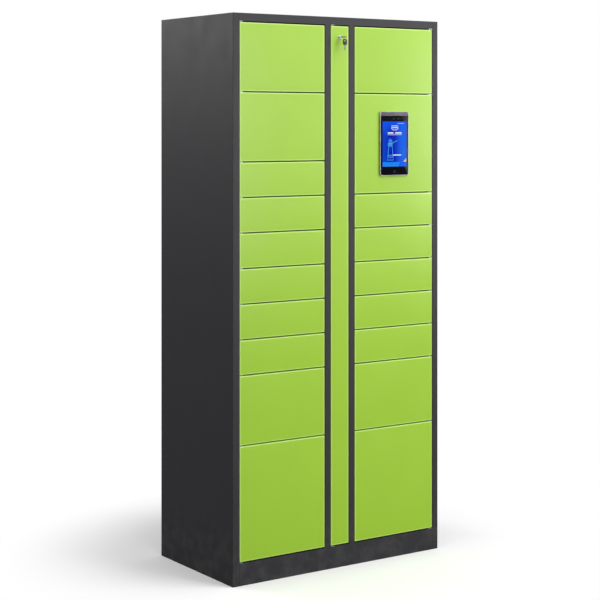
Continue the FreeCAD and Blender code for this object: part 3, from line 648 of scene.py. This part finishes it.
class LOCKER_OT_plate_hardware(bpy.types.Operator):
    """Plate the pivots, hooks, anchors and lock core, and mould the latch cases and grommet"""
    bl_idname = "locker.plate_hardware"
    bl_label = "Plate hardware"

    def execute(self, context):
        zinc = metal("zinc_plate", (0.60, 0.62, 0.66), 0.34)
        for node in frame["nodes"]:
            if "latch_hook" in node or node in ("hinge_pivots", "floor_anchors"):
                dress(node, zinc)
        dress("cam_lock_core", metal("lock_core_chrome", (0.80, 0.80, 0.82), 0.14, (900, 900, 900)))
        dress("latch_cases", plastic("latch_case_plastic", (0.028, 0.028, 0.031), 0.52))
        dress("cable_grommet", plastic("grommet_rubber", (0.018, 0.018, 0.018), 0.68, 900.0))
        dress("controller", plastic("controller_plastic", (0.50, 0.51, 0.50), 0.50))
        dress("terminal_shell", metal("terminal_shell_metal", (0.44, 0.45, 0.46), 0.36, (4000, 200, 200)))
        return {"FINISHED"}


# ---- operators: terminal ---------------------------------------------------------------------


def box_of(node):
    return tuple(np.array(corner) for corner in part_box(node))


def on_front(shape, x, y, z):
    points, faces = shape
    return points + np.array([x, y, z]), faces


class LOCKER_OT_terminal_front(bpy.types.Operator):
    """Glass front, grey band, camera window, speaker slot and home mark of the terminal"""
    bl_idname = "locker.terminal_front"
    bl_label = "Terminal front"

    def execute(self, context):
        settings = context.scene.locker_terminal
        low, high = box_of("terminal_glass")
        shell_low, shell_high = box_of("terminal_shell")
        centre = (low + high) / 2
        width, tall = high[0] - low[0], high[2] - low[2]
        glass = plate(width, tall, 0.5 * MILLIMETRE, high[1] - low[1], 0.3 * MILLIMETRE, low_radius=0.008)
        add_piece("terminal_cover_glass", on_front(glass, centre[0], high[1], centre[2]), TERMINAL_DOOR,
                  black_glass(), replaces=("terminal_glass",))
        front = low[1]
        band_z = shell_high[2] - settings.band_drop - settings.band_height / 2
        band = plate(width, settings.band_height, 0.008, 0.25 * MILLIMETRE, 0.15 * MILLIMETRE,
                     low_radius=0.3 * MILLIMETRE)
        grey = metal("terminal_band_metal", (0.105, 0.10, 0.112), 0.46, (4000, 200, 200))
        add_piece("terminal_band", on_front(band, centre[0], shell_low[1] + 0.02 * MILLIMETRE, band_z),
                  TERMINAL_DOOR, grey)
        slot_metal = plastic("terminal_slot_mesh", (0.02, 0.02, 0.022), 0.6, 2600.0, 0.05 * MILLIMETRE)
        speaker = plate(0.020, 0.0016, 0.0007, 0.12 * MILLIMETRE, 0.08 * MILLIMETRE)
        eye_z = high[2] - 0.0115
        add_piece("terminal_speaker", on_front(speaker, centre[0] + 0.020, front, eye_z), TERMINAL_DOOR,
                  slot_metal)
        profile = [(0.0021, 0), (0.0030, 0), (0.0030, 0.00012), (0.0026, 0.0003), (0.0021, 0.0002)]
        dim = metal("camera_ring_metal", (0.10, 0.10, 0.11), 0.42, (900, 900, 900))
        add_piece("terminal_camera_ring", on_front(turned(profile, 28), centre[0] - 0.004, front, eye_z),
                  TERMINAL_DOOR, dim)
        angle = np.linspace(0.08, np.pi / 2, 7)
        dome = np.stack([0.0021 * np.sin(angle), 0.00022 * np.cos(angle)], axis=-1)
        lens = turned(np.concatenate([[(0.0001, 0.00022)], dome, [(0.0021, 0)], [(0.0001, 0)]]), 24)
        add_piece("terminal_camera_lens", on_front(lens, centre[0] - 0.004, front, eye_z), TERMINAL_DOOR,
                  black_glass())
        ring = [(0.0043, 0), (0.0050, 0), (0.0050, 0.00010), (0.0046, 0.00016), (0.0043, 0.00010)]
        home_z = low[2] + 0.0125
        mark = lit("home_mark_light", (0.10, 0.11, 0.13), 0.6)
        house = rounded_rectangle(0.0034, 0.0034, 0.0008, steps=4)
        path = np.column_stack([house[:, 0], np.full(len(house), -0.00008), house[:, 1]])
        outline = swept(path, 0.0004, 0.00012, closed=True)
        home = joined([turned(ring, 40), outline])
        add_piece("terminal_home_mark", on_front(home, centre[0], front, home_z), TERMINAL_DOOR,
                  mark)
        return {"FINISHED"}


def line_art(strokes, width, y):
    """Strokes of (x, z) points drawn as flat rounded lines on the plane at depth y."""
    shapes = []
    for stroke, closed in strokes:
        stroke = np.asarray(stroke, float)
        path = np.column_stack([stroke[:, 0], np.full(len(stroke), y), stroke[:, 1]])
        if not closed:
            steps = np.linspace(0, len(path) - 1, 3 * (len(path) - 1) + 1)
            path = np.column_stack([np.interp(steps, np.arange(len(path)), path[:, k]) for k in range(3)])
        shapes.append(swept(path, width, 0.06 * MILLIMETRE, sides=6, closed=closed))
    return joined(shapes)


def arc(centre, radius, start, end, steps=18):
    angle = np.radians(np.linspace(start, end, steps))
    return np.stack([centre[0] + radius * np.cos(angle), centre[1] + radius * np.sin(angle)], axis=-1)


# Drawing on the display, as parts of its width and height: a lighthouse with a lamp and a beam.
SQUARE = ((-1, -1), (1, -1), (1, 1), (-1, 1))
TOWER_OUTLINES = (
    ((0.20, 0.145), (0.45, 0.145), (0.43, 0.25), (0.405, 0.44), (0.25, 0.44), (0.225, 0.25)),
    ((0.22, 0.465), (0.42, 0.465), (0.42, 0.505), (0.22, 0.505)),
    ((0.25, 0.52), (0.41, 0.52), (0.40, 0.57), (0.26, 0.57)),
    ((0.27, 0.585), (0.39, 0.585), (0.30, 0.625)),
)
TOWER_STROKES = (
    ((0.225, 0.25), (0.43, 0.25)),
    ((0.235, 0.225), (0.32, 0.195), (0.42, 0.225)),
    ((0.24, 0.485), (0.40, 0.485)),
    ((0.28, 0.545), (0.39, 0.545)),
    ((0.42, 0.52), (0.50, 0.545), (0.62, 0.575)),
)


class LOCKER_OT_terminal_screen(bpy.types.Operator):
    """Lit display with a plain parcel sign, blank title bars, a drawing of a tower and light rings"""
    bl_idname = "locker.terminal_screen"
    bl_label = "Terminal screen"

    def execute(self, context):
        settings = context.scene.locker_terminal
        glass_low, glass_high = box_of("terminal_glass")
        shell_high = box_of("terminal_shell")[1]
        front = glass_low[1]
        middle = (glass_low[0] + glass_high[0]) / 2
        wide, tall = settings.screen_width, settings.screen_height
        high = np.array([middle + wide / 2, front, shell_high[2] - settings.screen_drop])
        low = high - np.array([wide, 0, tall])
        screen = plate(wide, tall, 0.0008, 0.05 * MILLIMETRE, 0.02 * MILLIMETRE, steps=3)
        add_piece("terminal_screen", on_front(screen, middle, front, (low[2] + high[2]) / 2), TERMINAL_DOOR,
                  screen_light(settings, low, high))

        def at(across, up):
            return low[0] + across * wide, low[2] + up * tall

        y = front - 0.06 * MILLIMETRE
        white = lit("screen_white", (0.86, 0.93, 1.0), settings.glow)
        cyan = lit("screen_cyan", (0.05, 0.46, 0.98), settings.glow)
        faint = lit("screen_faint_blue", (0.03, 0.20, 0.90), settings.glow)
        x, z = at(0.51, 0.862)
        parcels = [[(x + side + a * 0.0036, z + 0.0045 + b * 0.0032) for a, b in SQUARE]
                   for side in (-0.0105, 0, 0.0105)]
        angle = np.radians(np.linspace(180, 360, 15))
        tray = np.stack([x + 0.0155 * np.cos(angle), z - 0.0008 + 0.0080 * np.sin(angle)], axis=-1)
        sign = line_art([(outline, True) for outline in parcels + [tray]], 0.0019, y)
        add_piece("screen_parcel_sign", sign, TERMINAL_DOOR, white)

        bars = []
        for across, up, length, height in ((0.33, 0.745, 0.24, 0.030), (0.66, 0.745, 0.28, 0.030),
                                           (0.505, 0.705, 0.58, 0.009), (0.61, 0.255, 0.34, 0.022),
                                           (0.76, 0.957, 0.26, 0.007)):
            bar_x, bar_z = at(across, up)
            bars.append(on_front(plate(length * wide, height * tall, height * tall * 0.45, 0.05 * MILLIMETRE,
                                       0.02 * MILLIMETRE, steps=4), bar_x, front - 0.05 * MILLIMETRE, bar_z))
        add_piece("screen_title_bars", joined(bars), TERMINAL_DOOR, white)

        closed_lines = [[at(*spot) for spot in outline] for outline in TOWER_OUTLINES]
        open_lines = [[at(*spot) for spot in stroke] for stroke in TOWER_STROKES]
        tower = line_art([(line, True) for line in closed_lines] + [(line, False) for line in open_lines],
                         0.0024, y)
        add_piece("screen_tower_drawing", tower, TERMINAL_DOOR, cyan)

        ring_x, ring_z = at(1.0, 0.31)
        rings = [(arc((ring_x, ring_z), radius, 100, 235, 16), False) for radius in (0.009, 0.014, 0.0205)]
        add_piece("screen_light_rings", line_art(rings, 0.0012, y), TERMINAL_DOOR, faint)

        corner, side = at(0.995, 0.105)
        points = np.array([(corner - 0.014, y, side), (corner, y, side), (corner, y, side + 0.014)])
        points = np.concatenate([points + np.array([0, 0.05 * MILLIMETRE, 0]), points])
        flag = points, [[0, 1, 2], [3, 5, 4], [0, 3, 4, 1], [1, 4, 5, 2], [2, 5, 3, 0]]
        add_piece("screen_amber_corner", flag, TERMINAL_DOOR,
                  lit("screen_amber", (1.0, 0.60, 0.16), settings.glow))
        return {"FINISHED"}


# ---- operators: lock and keys ------------------------------------------------------------------


class Hexagon:
    """Radius of a hexagon at each angle, for a nut whose round hole is left as it is."""

    def __init__(self, circumradius, hole):
        self.flat = circumradius * np.cos(np.pi / 6)
        self.hole = hole

    def __call__(self, angle):
        return self.flat / np.cos((angle + np.pi / 6) % (np.pi / 3) - np.pi / 6)


class LOCKER_OT_cam_lock(bpy.types.Operator):
    """Chromed lock: rounded rim, threaded barrel and a chamfered hexagonal nut"""
    bl_idname = "locker.cam_lock"
    bl_label = "Cam lock"

    def execute(self, context):
        settings = context.scene.locker_lock
        low, high = box_of("cam_lock_barrel")
        length = high[1] - LOCK_CENTRE[1]
        proud = LOCK_CENTRE[1] - low[1]
        bore, rim, barrel = 0.00452, 0.0079, 0.0063
        turn = np.linspace(0, np.pi / 2, 6)
        soft = settings.rim_round
        nose = np.stack([rim - soft + soft * np.sin(turn), proud - soft + soft * np.cos(turn)], axis=-1)
        threads = np.arange(0.0015, length - 0.0015, settings.thread_pitch / 4)
        groove = 0.00022 * (1 + np.cos(2 * np.pi * threads / settings.thread_pitch))
        thread = np.stack([barrel - groove, -threads], axis=-1)
        profile = np.concatenate([
            [(bore, -length), (bore, proud - 0.0007), (bore + 0.0005, proud - 0.0004),
             (0.0056, proud - 0.0004), (0.0060, proud)],
            nose, [(rim, 0), (barrel, 0)], thread, [(barrel - 0.0004, -length)]])
        chrome = metal("lock_chrome", (0.80, 0.81, 0.82), 0.16, (700, 700, 700))
        body = on_front(turned(profile, 56), *LOCK_CENTRE)
        sheet, nut_height, nut_hole, nut_face, nut_round = 0.0012, 0.0048, 0.0066, 0.0095, 0.0109
        chamfer = 0.0007
        nut_profile = [(nut_hole, -sheet), (nut_face, -sheet), (nut_round, -sheet - chamfer),
                       (nut_round, -sheet - nut_height + chamfer), (nut_face, -sheet - nut_height),
                       (nut_hole, -sheet - nut_height)]
        nut = on_front(turned(nut_profile, 72, shape=Hexagon(nut_round, nut_hole + 0.0003)), *LOCK_CENTRE)
        add_piece("lock_body", joined([body, nut]), "service_door", chrome,
                  replaces=("cam_lock_barrel",), smooth_below=28)
        return {"FINISHED"}


def key_bow(width, length, thick, hole_radius, hole_inset):
    """A key's moulded head in the XY plane, blade towards +Y from zero. Each ray runs from the round
    hole to the oval outline, and carries a section that is flat on both faces and round at both ends."""
    angle = np.linspace(0, 2 * np.pi, 44, endpoint=False)
    side, front = np.cos(angle), np.sin(angle)
    oval = np.stack([width / 2 * np.sign(side) * np.abs(side) ** 0.62,
                     length / 2 * (np.sign(front) * np.abs(front) ** 0.70 - 1)], axis=-1)
    # the head is a little narrower towards the blade
    oval[:, 0] *= 1 - 0.10 * (1 + oval[:, 1] / length)
    hole = np.stack([hole_radius * side, -length + hole_inset + hole_radius * front], axis=-1)
    turn = np.linspace(-np.pi / 2, np.pi / 2, 7)
    soft = thick / 2
    out = [(1.0, soft * np.cos(a), soft * np.sin(a)) for a in turn]
    back = [(0.0, soft * np.cos(a), soft * np.sin(a)) for a in turn[::-1]]
    rings = []
    ray = oval - hole
    reach = np.linalg.norm(ray, axis=1, keepdims=True)
    step = ray / reach
    for end, round_out, level in out + [(0.5, 0, soft * 0.86)] + back + [(0.5, 0, -soft * 0.86)]:
        inward = {0.0: soft, 1.0: -soft}.get(end, 0)
        base = hole + ray * end + step * inward
        spot = base + step * (round_out if end == 1.0 else -round_out)
        rings.append(np.column_stack([spot, np.full(len(angle), level)]))
    return ring_stack(np.array(rings), closed=True)


def key_blade(start, length, width, thick, cuts):
    """A flat blade along +Y with a milled groove on both faces. Its two edges dip by a rounded
    notch at each cut, and its end tapers to a point."""
    along = np.linspace(0, 1, 90)
    notch = np.zeros_like(along)
    for number in range(cuts):
        centre = 0.45 + 0.46 * number / max(cuts - 1, 1)
        depth = (0.10, 0.20, 0.07, 0.17, 0.12)[number % 5]
        notch = np.maximum(notch, depth * np.clip(1 - np.abs(along - centre) / 0.035, 0, 1))
    point = np.clip((1 - along) / 0.06, 0, 1) ** 0.7
    half = width / 2 * (1 - notch) * np.maximum(point, 0.02)
    upper = [(-1, 0), (-0.9, 0.5), (-0.35, 0.5), (-0.25, 0.22), (0.10, 0.22), (0.20, 0.5), (0.9, 0.5)]
    lower = [(1, 0), (0.9, -0.5), (0.25, -0.5), (0.15, -0.22), (-0.2, -0.22), (-0.3, -0.5), (-0.9, -0.5)]
    section = np.array(upper + lower)
    rings = np.stack([half[:, None] * section[None, :, 0],
                      np.repeat((start + along * length)[:, None], len(section), axis=1),
                      thick * np.repeat(section[None, :, 1], len(along), axis=0)], axis=-1)
    return ring_stack(rings)


class LOCKER_OT_keys(bpy.types.Operator):
    """Key in the lock, spare key and the split ring that joins them"""
    bl_idname = "locker.keys"
    bl_label = "Keys"

    def execute(self, context):
        cuts = context.scene.locker_lock.key_cuts
        black = plastic("key_bow_plastic", (0.012, 0.012, 0.013), 0.38, 1800.0, 0.01 * MILLIMETRE)
        # Painted shade: the nickel is darker than bare nickel, standing in for the shade and dark reflections
        # on the key blades and the split ring.
        nickel_with_painted_shade = metal("key_nickel", (0.34, 0.34, 0.32), 0.30, (500, 5000, 500))
        low, high = box_of("key")
        bow_wide, bow_long, bow_thick, hole, inset = 0.0202, 0.0228, 0.0025, 0.00265, 0.0063
        blade_wide, blade_thick, root = 0.0068, 0.0017, 0.002
        tail = low[1] + 0.1 * MILLIMETRE
        bow = key_bow(bow_wide, bow_long, bow_thick, hole, inset)
        bow_at = np.array([0, tail + bow_long, LOCK_CENTRE[2]])
        add_piece("key_bow", (bow[0] + bow_at, bow[1]), "cam_lock", black, replaces=("key",))
        blade_length = high[1] - bow_at[1]
        blade = key_blade(-root, blade_length + root, blade_wide, blade_thick, cuts)
        add_piece("key_blade", (blade[0] + bow_at, blade[1]), "cam_lock", nickel_with_painted_shade,
                  smooth_below=30)

        ring_low, _ = box_of("key_ring")
        # the ring is wound twice, so its wire sways once from side to side in two turns
        twist = np.linspace(0, 4 * np.pi, 132, endpoint=False)
        radius, wire, sway = 0.0070, 0.00078, 0.00034
        coil = np.stack([sway * np.cos(twist / 2), radius * np.cos(twist), radius * np.sin(twist)], axis=-1)
        ring = swept(coil + RING_CENTRE, wire, closed=True, up=(1, 0, 0))
        add_piece("split_ring", ring, "key_ring", nickel_with_painted_shade, replaces=("key_ring",))
        hang = dict(x=(1, 0, 0), y=(0, 0, -1), z=(0, 1, 0))
        hole_z = RING_CENTRE[2] - radius + wire + 0.1 * MILLIMETRE - hole
        top = hole_z + inset
        place = np.array([RING_CENTRE[0], RING_CENTRE[1], top - bow_long])
        spare_bow = turned_to(bow, **hang)
        add_piece("spare_key_bow", (spare_bow[0] + place, spare_bow[1]), "key_ring", black)
        spare_length = place[2] - ring_low[2] + root - 0.2 * MILLIMETRE
        spare_blade = turned_to(key_blade(-root, spare_length, blade_wide, blade_thick, cuts), **hang)
        add_piece("spare_key_blade", (spare_blade[0] + place, spare_blade[1]), "key_ring",
                  nickel_with_painted_shade, smooth_below=30)
        return {"FINISHED"}


# ---- operators: latch hardware and rivets -------------------------------------------------


def screw_head(radius, height):
    """A low domed head with a shallow round dip in the middle, turned about Y, standing out to -Y."""
    turn = np.linspace(0, np.pi / 2, 4)
    dome = np.stack([radius * np.sin(turn), height * (0.45 + 0.55 * np.cos(turn))], axis=-1)
    profile = np.concatenate([[(radius * 0.02, height * 0.45), (radius * 0.28, height * 0.5)],
                              dome[1:], [(radius, 0), (radius * 0.02, 0)]])
    return turned(profile, 12)


class LOCKER_OT_latch_fittings(bpy.types.Operator):
    """Screws that hold the electric latches to the channel walls"""
    bl_idname = "locker.latch_fittings"
    bl_label = "Latch fittings"

    def execute(self, context):
        steel = metal("latch_screw_zinc", (0.66, 0.66, 0.62), 0.28, (900, 900, 900))
        head = screw_head(0.0031, 0.0016)
        # the heads stand on the channel walls, measured off the locker's middle
        wall_face = 0.0438
        screws = []
        for place in LATCH_PLACES:
            side = np.sign(place[0])
            facing = turned_to(head, x=(0, side, 0), y=(side, 0, 0), z=(0, 0, 1))
            for back in (0.055, -0.006):
                for up in (-0.016, 0.016):
                    screws.append(on_front(facing, side * wall_face, place[1] + back, place[2] + up))
        add_piece("latch_screws", joined(screws), "cabinet", steel)
        return {"FINISHED"}


class LOCKER_OT_back_rivets(bpy.types.Operator):
    """Blind rivets that hold the back panel to the shelves and posts"""
    bl_idname = "locker.back_rivets"
    bl_label = "Back rivets"

    def execute(self, context):
        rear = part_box("back_panel")[1][1]
        turn = np.linspace(0, np.pi / 2, 4)
        radius, height = 0.0032, 0.0010
        dome = np.stack([radius * np.sin(turn), -height * np.cos(turn)], axis=-1)
        dome[0] = (radius * 0.25, -height)
        profile = np.concatenate([[(radius * 0.02, -height * 0.6), (radius * 0.2, -height * 0.6)], dome,
                                  [(radius * 0.02, 0)]])
        rivet = turned(profile, 12)
        places = [(side * 0.055, rear, z) for side in (-1, 1) for z in np.arange(0.14, 1.95, 0.15)]
        for name in (node for node in DOOR_NODES if "_door_" in node):
            low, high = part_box(name)
            side = np.sign(low[0])
            if high[2] < 1.9:
                places += [(side * x, rear, high[2] - 0.0045) for x in (0.12, 0.26, 0.40)]
        add_piece("back_rivets", copies(rivet, np.array(places)), "cabinet",
                  metal("rivet_aluminium", (0.62, 0.63, 0.64), 0.36, (900, 900, 900)))
        return {"FINISHED"}


class LOCKER_OT_controller_fittings(bpy.types.Operator):
    """Vents, terminal blocks, status lights and screws on the controller"""
    bl_idname = "locker.controller_fittings"
    bl_label = "Controller fittings"

    def execute(self, context):
        low, high = box_of("controller")
        centre = (low + high) / 2
        front = low[1]
        # Painted shade: the vent slots are flat black plates on the front, standing in for the dark inside of
        # open slots.
        slot = plate(0.046, 0.0032, 0.0015, 0.0003, 0.0002, 4)
        top_slot, slot_pitch, slot_rows = high[2] - 0.028, 0.0078, 7
        slots = [on_front(slot, centre[0] + x, front, top_slot - slot_pitch * k)
                 for x in (-0.028, 0.028) for k in range(slot_rows)]
        add_piece("controller_vents", joined(slots), "cabinet",
                  plastic("controller_vent_black", (0.01, 0.01, 0.01), 0.7))
        block = plate(0.0088, 0.016, 0.0010, 0.010, 0.0006, 3)
        count, block_pitch = 14, 0.0092
        xs = centre[0] + (np.arange(count) - (count - 1) / 2) * block_pitch
        rows = [np.column_stack([xs, np.full(count, front), np.full(count, low[2] + rise)])
                for rise in (0.022, 0.046)]
        add_piece("controller_terminals", joined([copies(block, row) for row in rows]), "cabinet",
                  plastic("terminal_block_green", (0.02, 0.20, 0.07), 0.42))
        head = screw_head(0.0024, 0.0009)
        heads = [copies(head, row + np.array([0, -0.0099, 0.003])) for row in rows]
        inset = 0.009
        corners = np.array([(x, front, z) for z in (low[2] + inset, high[2] - inset)
                            for x in (low[0] + inset, high[0] - inset)])
        heads.append(copies(screw_head(0.0036, 0.0016), corners))
        add_piece("controller_screws", joined(heads), "cabinet",
                  metal("controller_screw_zinc", (0.66, 0.66, 0.64), 0.3, (900, 900, 900)))
        turn = np.linspace(0.05, np.pi / 2, 5)
        dome = np.stack([0.0017 * np.sin(turn), 0.0016 * np.cos(turn)], axis=-1)
        lamp = turned(np.concatenate([dome, [(0.0001, 0)]]), 16)
        lamp_places = np.array([(centre[0] - 0.02 + 0.010 * k, front, centre[2] + 0.004) for k in range(5)])
        add_piece("controller_lamps", copies(lamp, lamp_places), "cabinet",
                  lit("status_green", (0.10, 0.95, 0.22), 1.6))
        return {"FINISHED"}


# ---- operator: stage --------------------------------------------------------------------------------


def soft_light(name, place, target, width, height, power):
    light = bpy.data.lights.new(name, "AREA")
    light.shape = "RECTANGLE"
    light.size, light.size_y = width, height
    light.energy = power
    lamp = bpy.data.objects.new(name, light)
    lamp.location = place
    lamp.rotation_euler = (Vector(target) - Vector(place)).to_track_quat("-Z", "Y").to_euler()
    bpy.context.scene.collection.objects.link(lamp)
    return lamp


def pale_floor():
    """A floor that is white to the camera and fades into the white surroundings with distance; to
    other rays it is a mid grey, so that the paint is not washed out from below."""
    material = bpy.data.materials.new("pale_floor")
    material.use_nodes = True
    board = Board(material.node_tree)
    shader = material.node_tree.nodes["Principled BSDF"]
    spot = board.place()
    away = board.add("ShaderNodeVectorMath", {0: spot}, operation="LENGTH").outputs["Value"]
    clouds = board.noise(1.3, 2.0)
    pale = board.blend(clouds, (0.90, 0.90, 0.90, 1), (0.95, 0.95, 0.95, 1))
    seen = board.add("ShaderNodeLightPath").outputs["Is Camera Ray"]
    board.feed(shader.inputs["Base Color"], board.blend(seen, (0.16, 0.16, 0.16, 1), pale))
    shader.inputs["Roughness"].default_value = 0.9
    shader.inputs["Specular IOR Level"].default_value = 0.0
    white = board.add("ShaderNodeEmission", {"Color": (1, 1, 1, 1), "Strength": 1.0})
    fade = board.maths("MULTIPLY", board.ramp(away, FLOOR_NEAR, FLOOR_FAR), seen)
    mixed = board.add("ShaderNodeMixShader", {0: fade, 1: shader.outputs[0], 2: white.outputs[0]})
    board.feed(material.node_tree.nodes["Material Output"].inputs["Surface"], mixed.outputs[0])
    return material


def white_surroundings(settings):
    """White to the camera. To the locker it is brighter in front than behind, and dark below."""
    world = bpy.data.worlds.new("white_surroundings")
    world.use_nodes = True
    board = Board(world.node_tree)
    sky = world.node_tree.nodes["Background"]
    direction = board.add("ShaderNodeTexCoord").outputs["Generated"]
    along = board.add("ShaderNodeSeparateXYZ", {"Vector": direction})
    above = board.ramp(along.outputs["Z"], -0.02, 0.06)
    around = board.ramp(along.outputs["Y"], 0.5, -0.3, settings.sky_behind, settings.sky_front)
    lit_sky = board.maths("MULTIPLY", above, around)
    seen = board.add("ShaderNodeLightPath").outputs["Is Camera Ray"]
    board.feed(sky.inputs["Color"], (1, 1, 1, 1))
    board.feed(sky.inputs["Strength"], board.maths("MAXIMUM", lit_sky, seen))
    return world


FLOOR_SIZE = 60
FLOOR_NEAR, FLOOR_FAR = 0.60, 1.15


class LOCKER_OT_stage(bpy.types.Operator):
    """Pale floor, white surroundings, soft lights and the camera"""
    bl_idname = "locker.stage"
    bl_label = "Stage"

    def execute(self, context):
        scene = context.scene
        settings = scene.locker_stage
        bpy.ops.mesh.primitive_plane_add(size=FLOOR_SIZE)
        floor = context.object
        floor.name = "floor"
        floor.data.materials.append(pale_floor())
        scene.world = white_surroundings(settings)
        scene.view_settings.view_transform = "Standard"

        soft_light("key_light", (1.2, -2.6, 4.2), (0, -0.25, 1.2), 1.8, 1.4, settings.key_power)
        soft_light("side_light", (3.45, -2.75, 1.65), (0.4, -0.25, 1.45), 0.8, 1.3, settings.side_power)
        soft_light("front_light", (1.3, -4.1, 1.55), (-0.3, -0.25, 1.3), 1.2, 1.6, settings.front_power)
        soft_light("grazing_light", (-2.7, 3.4, 2.9), (-0.45, 0, 1.6), 2.4, 1.5, settings.grazing_power)
        soft_light("left_light", (-1.4, -3.6, 1.0), (-0.5, -0.25, 0.9), 0.7, 1.6, settings.left_power)

        camera = bpy.data.objects.new("camera", bpy.data.cameras.new("camera"))
        camera.location = settings.eye
        camera.rotation_euler = (np.pi / 2, 0, -settings.turn)
        camera.data.lens = settings.lens
        camera.data.shift_x, camera.data.shift_y = settings.shift
        camera.data.clip_end = 100
        scene.collection.objects.link(camera)
        scene.camera = camera
        return {"FINISHED"}


class LOCKER_PT_finish(bpy.types.Panel):
    """Lists the locker's operators and settings"""
    bl_idname = "LOCKER_PT_finish"
    bl_label = "Parcel locker"
    bl_space_type = "VIEW_3D"
    bl_region_type = "UI"
    bl_category = "Locker"

    def draw(self, context):
        for owner in SETTINGS:
            box = self.layout.box()
            group_settings = getattr(context.scene, owner)
            for name in SETTINGS[owner].__annotations__:
                box.prop(group_settings, name)
        for operator in OPERATORS:
            self.layout.operator(operator.bl_idname)


SETTINGS = {"locker_paint": LockerPaint, "locker_terminal": LockerTerminal, "locker_lock": LockerLock,
            "locker_stage": LockerStage}
OPERATORS = (LOCKER_OT_stage, LOCKER_OT_paint_case, LOCKER_OT_paint_doors, LOCKER_OT_plate_hardware,
             LOCKER_OT_terminal_front, LOCKER_OT_terminal_screen, LOCKER_OT_cam_lock, LOCKER_OT_keys,
             LOCKER_OT_latch_fittings, LOCKER_OT_back_rivets,
             LOCKER_OT_controller_fittings)
CLASSES = (*SETTINGS.values(), *OPERATORS, LOCKER_PT_finish)


def register():
    for item in CLASSES:
        bpy.utils.register_class(item)
    for name, kind in SETTINGS.items():
        setattr(bpy.types.Scene, name, PointerProperty(type=kind))


def unregister():
    for name in SETTINGS:
        delattr(bpy.types.Scene, name)
    for item in reversed(CLASSES):
        bpy.utils.unregister_class(item)


def main():
    register()
    for operator in OPERATORS:
        category, name = operator.bl_idname.split(".")
        getattr(getattr(bpy.ops, category), name)()


if __name__ == "__main__":
    main()
